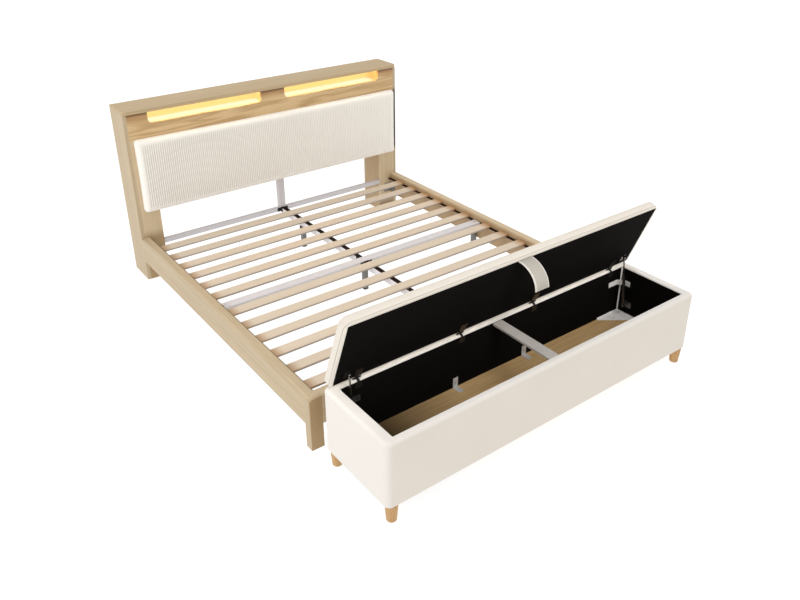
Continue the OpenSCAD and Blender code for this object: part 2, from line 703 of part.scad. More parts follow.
// The fixed leaf: a plate on the lining and a tongue round the rim's inner edge to the knuckle
module frame_leaf() difference() {
    union() {
        span([-18, 18], [-line_y - leaf_t, -line_y], [leaf_low, rim_z - 10]);
        along_x([-tongue_w / 2, tongue_w / 2]) {
            difference() {
                translate([rim_in_r - wall_t, rim_z - rim_in_r]) circle(rim_in_r + lining_t + leaf_t);
                translate([rim_in_r - wall_t, rim_z - rim_in_r]) circle(rim_in_r + lining_t);
                translate([-wall_t - 20, rim_z - rim_in_r - 40]) square([80, 40]);
                translate([rim_in_r - wall_t, rim_z - 40]) square([40, 80]);
            }
            translate([-line_y - leaf_t, rim_z - 12]) square([leaf_t, 12 - rim_in_r]);
            translate([rim_in_r - wall_t, rim_z + lining_t]) square([wall_t - rim_in_r - axis_in, leaf_t]);
            translate([-axis_in, axis_z]) circle(knuckle_r);
        }
    }
    pin_x([-tongue_w, tongue_w], -axis_in, axis_z, pin_r + run_gap);
}
module hinge_frame_leaves() color(bronze) chest() for (x = hinge_spots) translate([x, 0, 0]) frame_leaf();

// The moving leaf, drawn with the lid closed: a plate under the lid and two forks to the knuckles
plate_d = 50;
plate_y = [panel_y[0] + plate_d, panel_y[0]];
module lid_leaf() difference() {
    union() {
        span([-leaf_w / 2, leaf_w / 2], [-plate_y[0], -plate_y[1]], [lid_z - 2, lid_z]);
        both_sides() along_x([tongue_w / 2 + fork_gap, leaf_w / 2]) {
            polygon([[-plate_y[1] - 1, lid_z - 2], [-plate_y[1] - 1, lid_z],
                [-plate_y[1], lid_z], [-axis_in - 4, axis_z - 0.5], [-axis_in - 2, axis_z - 3],
                [-plate_y[1], lid_z - 2]]);
            translate([-axis_in, axis_z]) circle(knuckle_r);
        }
    }
    pin_x([-leaf_w, leaf_w], -axis_in, axis_z, pin_r);
    for (x = [-11, 11]) translate([x, -plate_y[0] + 12, lid_z - 3]) cylinder(h = 4, r = 2.5);
}
module hinge_lid_leaves() color(bronze) lid() for (x = hinge_spots) translate([x, 0, 0]) lid_leaf();

module hinge_pins() color([0.5, 0.5, 0.5]) lid() for (x = hinge_spots) translate([x, 0, 0]) {
    pin_x([-leaf_w / 2 - 2, leaf_w / 2 + 2], -axis_in, axis_z, pin_r);
    for (e = [[-leaf_w / 2 - 2.5, -leaf_w / 2], [leaf_w / 2, leaf_w / 2 + 2.5]])
        pin_x(e, -axis_in, axis_z, knuckle_r - 1);
}

// ---- lid, drawn closed ---------------------------------------------------

// Outline of the lid seen from its end
module lid_profile() difference() {
    translate([-lid_front, lid_z]) square([lid_d, lid_t]);
    translate([-lid_front, lid_z + lid_t]) mirror([1, 0]) edge_waste(lid_top_r);
    translate([-lid_rear, lid_z + lid_t]) edge_waste(lid_rear_r);
    translate([-lid_front, lid_z]) rotate(180) edge_waste(lid_low_r);
    translate([-lid_rear, lid_z]) mirror([0, 1]) edge_waste(lid_low_r);
}

module lid_cover() color(cream) lid() difference() {
    intersection() {
        soft_block([-lid_x, lid_x], [-lid_front, -lid_rear], [lid_z, lid_z + lid_t],
            [lid_r, lid_rear_r], lid_low_r, lid_top_r, false);
        along_x([-lid_x, lid_x]) lid_profile();
    }
    span([-panel_x, panel_x], [-panel_y[1], -panel_y[0]], [lid_z - 1, lid_z + panel_t + lid_board_t]);
}

module lid_board() color(oak) lid()
    span([-panel_x, panel_x], [-panel_y[1], -panel_y[0]], [lid_z + panel_t, lid_z + panel_t + lid_board_t]);

module lid_panel() color(black) lid()
    span([-panel_x, panel_x], [-panel_y[1], -panel_y[0]], [lid_z, lid_z + panel_t]);

// Flat strap that leaves the lid's underside at the free edge and hangs in a quarter curve
pull_n = 12;
pull_root = opened([panel_y[1] + 1, lid_z - 0.5]);
function pull_at(k, off) = let (a = 90 * k / pull_n)
    [-pull_root[0] - (pull_out + off) * sin(a), pull_root[1] - pull_down + (pull_down + off) * cos(a)];
module pull_strap() color([0.80, 0.76, 0.70]) chest() along_x([5 - pull_w / 2, 5 + pull_w / 2])
    polygon(concat([for (k = [0:pull_n]) pull_at(k, 0)], [for (k = [pull_n:-1:0]) pull_at(k, -pull_t)]));

// ---- gas struts ----------------------------------------------------------

// Bracket on the end wall, with the pin of the strut's lower pivot
module wall_bracket() chest() {
    span([line_x - bracket_t, line_x], [-strut_low_y - 30, 35 - strut_low_y], [low_z - 18, low_z + 19]);
    pin_x([strut_x + eye_w / 2 + 0.4, line_x - bracket_t], -strut_low_y, low_z, rod_r + 2);
    pin_x([strut_x - eye_w / 2 - 1, line_x - bracket_t], -strut_low_y, low_z, rod_r);
    pin_x([strut_x - eye_w / 2 - 4, strut_x - eye_w / 2 - 0.4], -strut_low_y, low_z, rod_r + 3);
}
module strut_wall_brackets() color([0.5, 0.5, 0.5]) both_sides() wall_bracket();

// Bracket under the lid: its stud stops beside the rod's eye
ear_x = strut_x + eye_w / 2 + 4;
module lid_bracket() {
    span([strut_x - 12, ear_x + 9], [-top_shut[0] - 11, 33 - top_shut[0]], [lid_z - 2, lid_z]);
    along_x([ear_x, ear_x + 3]) {
        translate([-top_shut[0], top_shut[1]]) circle(eye_r);
        translate([-top_shut[0] - eye_r, top_shut[1]]) square([2 * eye_r, lid_z - 1 - top_shut[1]]);
    }
    pin_x([strut_x + eye_w / 2 + 0.3, ear_x + 1], -top_shut[0], top_shut[1], rod_r);
}
module strut_lid_brackets() color(bronze) lid() both_sides() lid_bracket();

// Frame of a strut: origin at the lower pivot, Z along the strut
module on_strut(s) chest() translate([s * strut_x, -strut_low_y, low_z]) rotate([-strut_lean, 0, 0])
    children();

gland_h = 8;
tube_foot = 18;
module strut_tube(s) color(bronze) on_strut(s) difference() {
    union() {
        pin_x([-eye_w / 2, eye_w / 2], 0, 0, eye_r);
        cylinder(h = tube_foot + 1, r = eye_w / 2);
        translate([0, 0, tube_foot]) cylinder(h = strut_len - tube_foot, r = strut_r);
    }
    pin_x([-eye_w, eye_w], 0, 0, rod_r + run_gap);
    translate([0, 0, tube_foot + 4]) cylinder(h = strut_len - gland_h - tube_foot - 4, r = strut_r - 1.5);
    translate([0, 0, tube_foot + 4]) cylinder(h = strut_len, r = rod_r + run_gap);
}
module strut_tube_left() strut_tube(-1);
module strut_tube_right() strut_tube(1);

module strut_rod(s) color([0.75, 0.75, 0.77]) on_strut(s) {
    translate([0, 0, strut_len - gland_h - 20]) cylinder(h = 10, r = strut_r - 1.5 - 2 * run_gap);
    translate([0, 0, strut_len - gland_h - 20]) cylinder(h = strut_reach - strut_len + gland_h + 14, r = rod_r);
    translate([0, 0, strut_reach - 22]) cylinder(h = 20, r = eye_w / 2);
    pin_x([-eye_w / 2, eye_w / 2], 0, strut_reach, rod_eye_r);
}
module strut_rod_left() strut_rod(-1);
module strut_rod_right() strut_rod(1);

head_top();
head_fascia();
fascia_posts();
slot_corners();
head_side_left();
head_side_right();
leg_front_panels();
leg_inner_panels();
leg_back_panels();
head_back();
head_bottom();
cushion_board();
light_tray_left();
light_tray_right();
led_strips();
head_cushion();
centre_post();
head_bar();
rail_left();
rail_right();
foot_rail();
foot_leg_left();
foot_leg_right();
side_ledges();
slat_straps();
beam_head();
beam_foot();
mid_bar();
support_legs();
leg_glides();
beam_brackets();
rail_brackets();
frame_bolts();
slats_head();
slats_foot();
chest_front();
chest_rear();
chest_left();
chest_right();
chest_lining();
chest_floor();
chest_bar();
chest_feet();
floor_brackets();
corner_plates();
corner_strips();
corner_braces();
hinge_frame_leaves();
strut_wall_brackets();
lid_cover();
lid_board();
lid_panel();
pull_strap();
hinge_lid_leaves();
hinge_pins();
strut_lid_brackets();
strut_tube_left();
strut_tube_right();
strut_rod_left();
strut_rod_right();
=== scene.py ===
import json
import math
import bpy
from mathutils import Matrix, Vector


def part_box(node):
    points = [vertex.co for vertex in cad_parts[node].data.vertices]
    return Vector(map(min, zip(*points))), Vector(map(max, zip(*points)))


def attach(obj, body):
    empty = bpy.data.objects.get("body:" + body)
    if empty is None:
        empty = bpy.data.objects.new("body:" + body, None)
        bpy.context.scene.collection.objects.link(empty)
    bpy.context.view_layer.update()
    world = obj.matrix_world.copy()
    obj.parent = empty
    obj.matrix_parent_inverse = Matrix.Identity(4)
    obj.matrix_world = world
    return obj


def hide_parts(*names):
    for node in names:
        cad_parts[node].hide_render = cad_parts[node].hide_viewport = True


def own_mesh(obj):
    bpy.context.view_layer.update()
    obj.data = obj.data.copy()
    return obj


bl_info = {
    "name": "Bed with blanket chest",
    "version": (1, 0, 0),
    "blender": (4, 5, 0),
    "location": "View3D > Sidebar > Bed",
    "description": "Upholstery, finishes, lights and stage for a bed with a blanket chest at its foot",
    "category": "Object",
}

import bmesh
import bpy
from bpy.props import FloatProperty, FloatVectorProperty, PointerProperty
from mathutils import Matrix, Vector, noise

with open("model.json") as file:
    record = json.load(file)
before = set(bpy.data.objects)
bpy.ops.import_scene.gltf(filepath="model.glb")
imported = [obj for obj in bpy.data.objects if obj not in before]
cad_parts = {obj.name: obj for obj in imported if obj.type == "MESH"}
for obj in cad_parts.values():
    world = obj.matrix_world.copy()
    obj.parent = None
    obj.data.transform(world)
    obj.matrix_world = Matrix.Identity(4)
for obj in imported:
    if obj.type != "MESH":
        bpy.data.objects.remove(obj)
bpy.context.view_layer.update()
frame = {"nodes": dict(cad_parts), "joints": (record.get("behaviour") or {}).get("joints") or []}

lid_hinge = next(j for j in frame["joints"] if j["name"] == "lid_hinge")
HINGE = Vector(lid_hinge["pos_m"])
LID_OPEN = math.radians(lid_hinge["range_deg"][1])
LIFT_LID = (
    Matrix.Translation(HINGE) @ Matrix.Rotation(-LID_OPEN, 4, "X") @ Matrix.Translation(-HINGE)
)


def closed_box(node):
    """Lowest and highest corner of a lid node with the lid shut."""
    shut = LIFT_LID.inverted()
    spots = [shut @ v.co for v in frame["nodes"][node].data.vertices]
    return (
        Vector(min(p[k] for p in spots) for k in range(3)),
        Vector(max(p[k] for p in spots) for k in range(3)),
    )


PAD_LOW, PAD_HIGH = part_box("head_cushion")
CHEST_LOW, CHEST_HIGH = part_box("chest_front")[0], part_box("chest_rear")[1]
LINING_LOW, LINING_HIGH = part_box("chest_lining")
LID_LOW, LID_HIGH = closed_box("lid_cover")
PANEL_LOW, PANEL_HIGH = closed_box("lid_panel")
STRAP_LOW, STRAP_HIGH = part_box("pull_strap")

X, Y, Z = range(3)
# Two points closer than this are one point.
SAME = 0.00001
# How far a point may lie off a plane or box and still count as on it.
SLACK = 0.0001
# A cut meets a point that lies this close to it.
ON_CUT = 0.000001
# A Mix node's factor and its two colours among its inputs, and the mixed colour that it gives.
MIX_INPUTS, MIX_OUTPUT = (0, 6, 7), 2
# Grain of each wood: rings across a board, their contrast, and the noise's scale each way.
FINE_OAK = {"lines": 5, "contrast": 0.35, "across": 34, "along": 0.5}
BROAD_OAK = {"lines": 6, "contrast": 0.5, "across": 12, "along": 0.9}
SLAT_GRAIN = {"lines": 3, "contrast": 0.25, "across": 22, "along": 0.6}
PLAIN_BOARD = {"lines": 6, "contrast": 0.4, "across": 26, "along": 0.9}
FOOT_GRAIN = {"lines": 9, "contrast": 0.55, "across": 30, "along": 3}
# Weave of the chest's and the lid's fabric, with its upright wale.
UPHOLSTERY = {"wale": 0.0085, "depth": 0.1, "shade": 0.96}
EASED_BOARDS = (
    "head_top", "foot_rail", "rail_left", "rail_right", "head_side_left", "head_side_right",
    "leg_front_panels", "leg_inner_panels", "foot_leg_left", "foot_leg_right", "slats_head",
    "slats_foot", "chest_floor",
)
EASED_STEEL = (
    "head_bar", "mid_bar", "beam_head", "beam_foot", "side_ledges", "centre_post", "chest_bar",
)
# Width and height of the photograph, and where the camera's axis meets it, in pixels.
PHOTO_W, PHOTO_H = 800, 600
AXIS_X, AXIS_Y = 407.70, 239.23


# ---- sizes and colours that a user would change ------------------------------


def length(name, default, description, low=0.0, high=5.0):
    return FloatProperty(
        name=name, description=description, default=default, min=low, max=high, unit="LENGTH"
    )


def amount(name, default, description, low=0.0, high=1.0):
    return FloatProperty(name=name, description=description, default=default, min=low, max=high)


def angle(name, degrees, description):
    return FloatProperty(
        name=name, description=description, default=math.radians(degrees), subtype="ANGLE"
    )


def colour(name, default, description):
    return FloatVectorProperty(
        name=name, description=description, default=default, size=3, min=0, max=1, subtype="COLOR"
    )


class BoardFinish(bpy.types.PropertyGroup):
    light: colour("Light grain", (0.51, 0.405, 0.265), "Colour between the grain lines")
    dark: colour("Dark grain", (0.42, 0.32, 0.195), "Colour of the grain lines")
    warm_light: colour("Fascia light grain", (0.69, 0.50, 0.275), "Light grain of the fascia")
    warm_dark: colour("Fascia dark grain", (0.47, 0.305, 0.14), "Dark grain of the fascia")
    # Painted shadow on the fascia under the top board's overhang
    fascia_top_shadow: colour("Fascia top shadow", (0.40, 0.215, 0.09), "Fascia close under the top board")
    slat_light: colour("Slat light grain", (0.65, 0.54, 0.42), "Light grain of the slats")
    slat_dark: colour("Slat dark grain", (0.585, 0.48, 0.365), "Dark grain of the slats")
    # Painted shade on the slats' edges and on their ends beside the rails
    slat_edge_shade: colour("Slat edge shade", (0.34, 0.30, 0.26), "The slats below their upper faces")
    slat_end_shade: colour("Slat end shade", (0.44, 0.26, 0.13), "The slats beside the rails")
    board_light: colour("Chest board light", (0.62, 0.41, 0.195), "Light grain of the chest's board")
    board_dark: colour("Chest board dark", (0.45, 0.28, 0.12), "Dark grain of the chest's board")
    # Painted shade on the legs' front faces
    leg_front_shade: colour("Leg front", (0.37, 0.25, 0.125), "Painted shade on the legs' front faces")
    # Painted shade on inner faces, in gaps and joints, and near the floor
    oak_shade: colour("Oak shade", (0.41, 0.275, 0.15), "Painted shade on the rails' inner faces and other shaded oak")
    edge: length("Eased edge", 0.0012, "Radius on the boards' edges", high=0.005)


class FootShape(bpy.types.PropertyGroup):
    top: length("Upper end", 0.060, "Diameter of the chest's feet under the chest", 0.02, 0.07)
    tip: length("Lower end", 0.046, "Diameter of the chest's feet at the floor", 0.02, 0.07)
    from_side: length("From the side", 0.040, "From the chest's side to a foot's middle", 0.03, 0.3)
    from_front: length("From the front", 0.032, "From the chest's front to a foot's middle", 0.03, 0.3)
    light: colour("Light grain", (0.55, 0.335, 0.145), "Light grain of the feet")
    dark: colour("Dark grain", (0.43, 0.24, 0.09), "Dark grain of the feet")


class MetalFinish(bpy.types.PropertyGroup):
    white: colour("White steel", (0.62, 0.59, 0.60), "Powder coat of the bars, beams and ledges")
    # Painted shade on the right ledges
    ledge_shade: colour("Ledge shade", (0.30, 0.20, 0.11), "The ledges on the bed's right side")
    grey: colour("Grey steel", (0.16, 0.155, 0.15), "Coat of the legs and corner angles")
    black: colour("Black steel", (0.012, 0.012, 0.012), "Coat of the beam's angles")
    pale: colour("Pale steel", (0.92, 0.90, 0.88), "Zinc of the chest's plates, strips and angles")
    # Painted shade on the plates in the chest's left corner
    pale_shade: colour("Shaded zinc", (0.03, 0.03, 0.03), "Plates in the chest's dark left corners")
    bar: colour("Chest bar", (0.60, 0.565, 0.525), "Steel of the bar across the chest")
    bracket: colour("Wall brackets", (0.11, 0.105, 0.10), "Steel of the struts' wall brackets")
    dark: colour("Dark steel", (0.018, 0.016, 0.014), "Coat of the hinges and struts")
    rod: colour("Rods", (0.30, 0.28, 0.26), "Chrome of the rods and hinge pins")
    bright: colour("Bright steel", (0.62, 0.60, 0.58), "Bolts of the frame")
    straps: colour("Plastic", (0.022, 0.011, 0.009), "Slat straps and leg glides")
    edge: length("Eased edge", 0.0015, "Radius on the steel's edges", high=0.005)


class LightFinish(bpy.types.PropertyGroup):
    glow: colour("Light colour", (1.0, 0.66, 0.26), "Colour of the light strips")
    power: amount("Strip brightness", 30.0, "Brightness of the light strips", high=200)
    strip: colour("Strip cover", (1.0, 0.9, 0.7), "Plastic over the light strips")
    tray: colour("Tray", (0.10, 0.08, 0.05), "Colour of the unlit trays")
    # Painted light: the trays' glow stands in for the light that the strips throw on them
    wall: colour("Rear wall", (0.93, 0.66, 0.21), "Light that the trays' rear walls give off")
    floor: colour("Tray floor", (0.98, 0.86, 0.60), "Light that the trays' floors give off")
    ends: colour("Tray end", (0.96, 0.52, 0.14), "Light that the right tray's end gives off")


class CushionShape(bpy.types.PropertyGroup):
    rib: length("Rib pitch", 0.0135, "Distance from one rib to the next", 0.006, 0.05)
    groove: length("Groove depth", 0.0040, "Depth of the seam between two ribs", high=0.01)
    round_edge: length("Edge radius", 0.028, "Rounding of the front edges", 0.005, 0.05)
    corner: length("Corner radius", 0.022, "Rounding of the corners seen from the front", 0.005, 0.06)
    tone: colour("Cushion fabric", (0.90, 0.865, 0.80), "Colour of the ribbed fabric")


class ChestShape(bpy.types.PropertyGroup):
    corner: length("Corner radius", 0.030, "Rounding of the upright corners", 0.005, 0.05)
    edge: length("Rim radius", 0.018, "Rounding of the rim's outer edge", 0.005, 0.03)
    rim_inside: length("Inner rim radius", 0.006, "Rounding of the rim's inner edge", 0.002, 0.02)
    foot_edge: length("Lower edge radius", 0.010, "Rounding of the lower edges", 0.002, 0.02)
    bulge: length("Padding", 0.003, "How far the padded walls stand out", high=0.01)
    tone: colour("Chest fabric", (0.715, 0.657, 0.58), "Colour of the chest's fabric")
    lining: length("Lining", 0.0015, "Thickness of the black lining and dust cover", 0.0005, 0.002)
    lining_tone: colour("Lining fabric", (0.0055, 0.005, 0.0045), "Colour of both linings")


class LidShape(bpy.types.PropertyGroup):
    corner: length("Front corner radius", 0.038, "Plan radius of the front corners", 0.005, 0.05)
    edge: length("Edge radius", 0.014, "Rounding of the upper edges and rear corners", 0.005, 0.03)
    low_edge: length("Lower edge radius", 0.0065, "Rounding of the lower edges", 0.002, 0.012)
    crown: length("Crown", 0.005, "How far the middle of the top stands up", high=0.02)
    bulge: length("Side bulge", 0.003, "How far the padded sides stand out", high=0.01)


class StrapShape(bpy.types.PropertyGroup):
    thick: length("Thickness", 0.004, "Thickness of the webbing", 0.001, 0.01)
    binding: length("Binding", 0.009, "Width of the bound edges", 0.002, 0.03)
    tone: colour("Webbing", (0.38, 0.355, 0.31), "Colour of the webbing")
    edge_tone: colour("Binding colour", (0.52, 0.50, 0.46), "Colour of the bound edges")


class StageSetup(bpy.types.PropertyGroup):
    azimuth: angle("Azimuth", -37.005, "Direction the camera looks from")
    elevation: angle("Elevation", 25.852, "Camera's angle above the floor")
    roll: angle("Roll", -0.082, "Camera's tilt")
    place: FloatVectorProperty(
        name="Camera", description="Where the camera stands", size=3, unit="LENGTH",
        default=(-2.3939, -3.4384, 2.5045),
    )
    lens: amount("Lens", 35.52, "Focal length in millimetres", 10, 200)
    floor: colour("Floor", (0.30, 0.30, 0.30), "Colour of the floor")
    white: amount("White", 0.84, "Brightness of the floor and of what surrounds it", high=5)


# ---- tones ----------------------------------------------------------------------


def times(tone, *shares):
    """A tone times one share, or times a share each of red, green and blue."""
    return tuple(c * shares[k % len(shares)] for k, c in enumerate(tone))


def grain_tones(group, prefix="", shares=(1,)):
    """The light and the dark grain of a settings group, times shares."""
    return [times(getattr(group, prefix + end), *shares) for end in ("light", "dark")]


# ---- materials ----------------------------------------------------------------


def new_material(name):
    """A node material, and its Principled shader."""
    mat = bpy.data.materials.new(name)
    mat.use_nodes = True
    return mat, mat.node_tree.nodes["Principled BSDF"]


def feed(mat, value, socket):
    """Joins an output to a socket, or sets the socket to a number or tone."""
    if hasattr(value, "is_linked"):
        mat.node_tree.links.new(value, socket)
    else:
        socket.default_value = value


def add(mat, kind, **values):
    """Adds a node; values set its properties, or feed its sockets."""
    node = mat.node_tree.nodes.new(kind)
    for key, value in values.items():
        if hasattr(node, key):
            setattr(node, key, value)
        else:
            feed(mat, value, node.inputs[key.replace("_", " ")])
    return node


def object_coords(mat, stretch=(1, 1, 1), shift=(0, 0, 0)):
    """Object coordinates, scaled in each direction and shifted."""
    spot = add(mat, "ShaderNodeTexCoord").outputs["Object"]
    return add(mat, "ShaderNodeMapping", Vector=spot, Scale=stretch, Location=shift).outputs["Vector"]


def split_coords(mat):
    """The X, Y and Z of the object coordinates."""
    return add(mat, "ShaderNodeSeparateXYZ", Vector=object_coords(mat)).outputs


def speckle(mat, scale, detail=2.0, stretch=(1, 1, 1), shift=(0, 0, 0), **more):
    """Noise on object coordinates."""
    coords = object_coords(mat, stretch, shift)
    node = add(mat, "ShaderNodeTexNoise", Vector=coords, Scale=scale, Detail=detail, **more)
    return node.outputs["Fac"]


def maths(mat, operation, *values):
    """One step of arithmetic on outputs and numbers."""
    node = add(mat, "ShaderNodeMath", operation=operation)
    for value, socket in zip(values, node.inputs):
        feed(mat, value, socket)
    return node.outputs[0]


def ramp(mat, factor, *stops):
    """Colour ramp: stops are (position, colour)."""
    node = add(mat, "ShaderNodeValToRGB", Fac=factor)
    steps = node.color_ramp.elements
    for step, (place, tone) in zip(steps, stops):
        step.position = place
        step.color = (*tone, 1.0)
    return node.outputs["Color"]


def blend(mat, mask, under, over):
    """Mixes two colours: the mask brings the second one in."""
    node = add(mat, "ShaderNodeMix", data_type="RGBA")
    for value, place in zip((mask, under, over), MIX_INPUTS):
        feed(mat, value, node.inputs[place])
    return node.outputs[MIX_OUTPUT]


def bump(mat, shader, height, strength, distance):
    """Raises a finish by a height; distance is in metres."""
    node = add(mat, "ShaderNodeBump", Height=height, Strength=strength, Distance=distance)
    feed(mat, node.outputs["Normal"], shader.inputs["Normal"])


def wood(name, grain, tones, lines, contrast, across, along):
    """Oak along axis grain: contour lines of a stretched noise for the rings, and fine pores."""

    def stretched(sideways, lengthways):
        scale = [sideways] * 3
        scale[grain] = lengthways
        return scale

    mat, shader = new_material(name)
    sharpness, pore_share, patch_share, balance = 1.6, 0.55, 0.5, 0.28
    rough, pore_rough, band_height = 0.42, 0.18, 0.3
    rings = speckle(mat, 1.0, 3.0, stretched(across, along), Roughness=0.45, Distortion=0.35)
    pores = speckle(mat, 1.0, 2.0, stretched(520.0, 9.0), Roughness=0.6)
    patches = speckle(mat, 1.0, 2.0, stretched(5.0, 0.8), shift=(3, 7, 1))
    wave = maths(mat, "SINE", maths(mat, "MULTIPLY", rings, lines * math.tau))
    band = maths(mat, "POWER", maths(mat, "MULTIPLY_ADD", wave, 0.5, 0.5), sharpness)
    mix = maths(mat, "MULTIPLY_ADD", band, contrast, maths(mat, "MULTIPLY", pores, pore_share))
    mix = maths(mat, "MULTIPLY_ADD", patches, patch_share, maths(mat, "SUBTRACT", mix, balance))
    light, dark = tones
    feed(mat, ramp(mat, mix, (0.12, light), (0.85, dark)), shader.inputs["Base Color"])
    feed(mat, maths(mat, "MULTIPLY_ADD", pores, pore_rough, rough), shader.inputs["Roughness"])
    shader.inputs["Specular IOR Level"].default_value = 0.35
    height = maths(mat, "MULTIPLY_ADD", band, band_height, pores)
    bump(mat, shader, height, strength=0.12, distance=0.0006)
    return mat


def metal(name, tone, metallic=0.0, rough=0.38, coat=0.0):
    """Painted or plated steel with a faint orange peel and rubbed patches."""
    wear, gloss_range = 0.03, 0.16
    mat, shader = new_material(name)
    peel, rubbed = speckle(mat, 500.0), speckle(mat, 22.0, 4.0)
    dull, worn = times(tone, 1 - wear), [min(1.0, c * (1 + wear)) for c in tone]
    feed(mat, ramp(mat, rubbed, (0.3, dull), (0.7, worn)), shader.inputs["Base Color"])
    polish = maths(mat, "MULTIPLY_ADD", rubbed, gloss_range, rough - gloss_range / 2)
    feed(mat, polish, shader.inputs["Roughness"])
    shader.inputs["Metallic"].default_value = metallic
    shader.inputs["Coat Weight"].default_value = coat
    bump(mat, shader, peel, strength=0.08, distance=0.0003)
    return mat


def plastic(name, tone, rough, glow=None, power=0.0):
    """Moulded plastic with a fine grain; glow and power make it shine."""
    mat, shader = new_material(name)
    grain = speckle(mat, 700.0)
    feed(mat, ramp(mat, grain, (0.3, times(tone, 0.93)), (0.7, tone)), shader.inputs["Base Color"])
    shader.inputs["Roughness"].default_value = rough
    if glow:
        shader.inputs["Emission Color"].default_value = (*glow, 1.0)
        shader.inputs["Emission Strength"].default_value = power
    shader.inputs["Specular IOR Level"].default_value = 0.03
    bump(mat, shader, grain, strength=0.1, distance=0.0003)
    return mat


def cloth(name, tone, thread=0.0011, wale=0.0, sheen=0.25, depth=0.25, shade=0.9, shine=0.2):
    """Woven fabric: threads both ways, slubs, and an optional upright wale."""
    mat, shader = new_material(name)
    spot = split_coords(mat)
    turns = math.tau / thread
    flat = maths(mat, "ADD", spot["X"], spot["Y"])
    warp = maths(mat, "SINE", maths(mat, "MULTIPLY", flat, turns))
    weft = maths(mat, "SINE", maths(mat, "MULTIPLY", spot["Z"], turns))
    weave = maths(mat, "MULTIPLY", warp, weft)
    slub = speckle(mat, 1.0, 2.0, (60, 60, 900))
    cloud = speckle(mat, 3.5, 3.0)
    fuzz = speckle(mat, 240.0, 3.0)
    weave_height, wale_height, wale_tone = 0.3, 0.9, 0.10
    height = maths(mat, "MULTIPLY_ADD", weave, weave_height, maths(mat, "ADD", slub, fuzz))
    mix = maths(mat, "MULTIPLY_ADD", fuzz, 0.5, maths(mat, "MULTIPLY", cloud, 0.5))
    if wale:
        lines = maths(mat, "SINE", maths(mat, "MULTIPLY", flat, math.tau / wale))
        height = maths(mat, "MULTIPLY_ADD", lines, wale_height, height)
        mix = maths(mat, "MULTIPLY_ADD", lines, wale_tone, mix)
    weave_tone = ramp(mat, mix, (0.3, times(tone, shade)), (0.68, tone))
    feed(mat, weave_tone, shader.inputs["Base Color"])
    shader.inputs["Roughness"].default_value = 0.85
    shader.inputs["Sheen Weight"].default_value = sheen
    shader.inputs["Sheen Roughness"].default_value = 0.5
    shader.inputs["Specular IOR Level"].default_value = shine
    bump(mat, shader, height, strength=depth, distance=0.0006)
    return mat


def tint(mat, tone, mask):
    """Mixes a tone into a material's colour by a mask."""
    base = mat.node_tree.nodes["Principled BSDF"].inputs["Base Color"]
    feed(mat, blend(mat, mask, base.links[0].from_socket, (*tone, 1)), base)


def span_mask(mat, spans):
    """1 inside spans of (axis, start, full); axis +-X is the distance from the middle plane."""
    spot = split_coords(mat)
    mask = 1.0
    for axis, start, full in spans:
        place = spot[axis[-1]]
        if axis.startswith("+-"):
            place = maths(mat, "ABSOLUTE", place)
        fade = add(mat, "ShaderNodeMapRange", Value=place, From_Min=start, From_Max=full)
        mask = maths(mat, "MULTIPLY", fade.outputs[0], mask)
    return mask


def shade_where(mat, tone, *spans):
    """Mixes a tone into a material inside spans of object coordinates."""
    tint(mat, tone, span_mask(mat, spans))


def shade_layer(mat, tone, layer):
    """Mixes a tone into a material where a mesh's own layer of numbers is 1."""
    tint(mat, tone, add(mat, "ShaderNodeAttribute", attribute_name=layer).outputs["Fac"])


def paint_groove_shade(mat, tone, middle, pitch, *spans):
    """Painted shade in upright lines at a pitch along X, inside spans of object coordinates."""
    softness = 0.8
    turn = maths(mat, "SUBTRACT", split_coords(mat)["X"], middle)
    turn = maths(mat, "SINE", maths(mat, "MULTIPLY", turn, math.pi / pitch))
    seam = maths(mat, "SUBTRACT", 1.0, maths(mat, "POWER", maths(mat, "ABSOLUTE", turn), softness))
    tint(mat, tone, maths(mat, "MULTIPLY", seam, span_mask(mat, spans)))


def dress(mat, *nodes):
    """Gives CAD nodes a material."""
    for name in nodes:
        slots = frame["nodes"][name].data.materials
        slots.clear()
        slots.append(mat)


def ease_edges(width, nodes):
    """Rounds the sharp edges of CAD boards and plates a little."""
    sharp = math.radians(40)
    for name in nodes:
        board = frame["nodes"][name]
        weld = board.modifiers.new("merge", "WELD")
        weld.merge_threshold = SAME
        soften = board.modifiers.new("ease", "BEVEL")
        soften.width = width
        soften.segments = 2
        soften.limit_method = "ANGLE"
        soften.angle_limit = sharp


# ---- mesh helpers ---------------------------------------------------------------


def finish_mesh(bm, name, mat, smooth=50.0):
    """Turns a bmesh into an object at the origin, smooth up to an angle in degrees."""
    bmesh.ops.recalc_face_normals(bm, faces=bm.faces)
    mesh = bpy.data.meshes.new(name)
    bm.to_mesh(mesh)
    bm.free()
    for face in mesh.polygons:
        face.use_smooth = True
    mesh.set_sharp_from_angle(angle=math.radians(smooth))
    mesh.materials.append(mat)
    piece = bpy.data.objects.new(name, mesh)
    bpy.context.scene.collection.objects.link(piece)
    return piece


def loft(loops, ring=True):
    """A bmesh skinned over loops of points; ring closes each loop."""
    rows = [row + [row[0]] for row in loops] if ring else loops
    across, up = len(rows[0]) - 1, len(rows) - 1
    bm = bmesh.new()
    bmesh.ops.create_grid(bm, x_segments=across, y_segments=up, size=0.5)
    for v in bm.verts:
        column = round((v.co.x + 0.5) * across)
        row = round((v.co.y + 0.5) * up)
        v.co = rows[row][column]
    bmesh.ops.remove_doubles(bm, verts=bm.verts, dist=SAME)
    return bm


def close_ends(bm):
    """Closes every open loop of edges with one face."""
    bmesh.ops.holes_fill(bm, edges=[e for e in bm.edges if e.is_boundary], sides=0)


def block(bm, low, high):
    """A box between two corners."""
    size, middle = high - low, (low + high) / 2
    bmesh.ops.create_cube(bm, size=1, matrix=Matrix.Translation(middle) @ Matrix.Diagonal((*size, 1)))
    bm.normal_update()


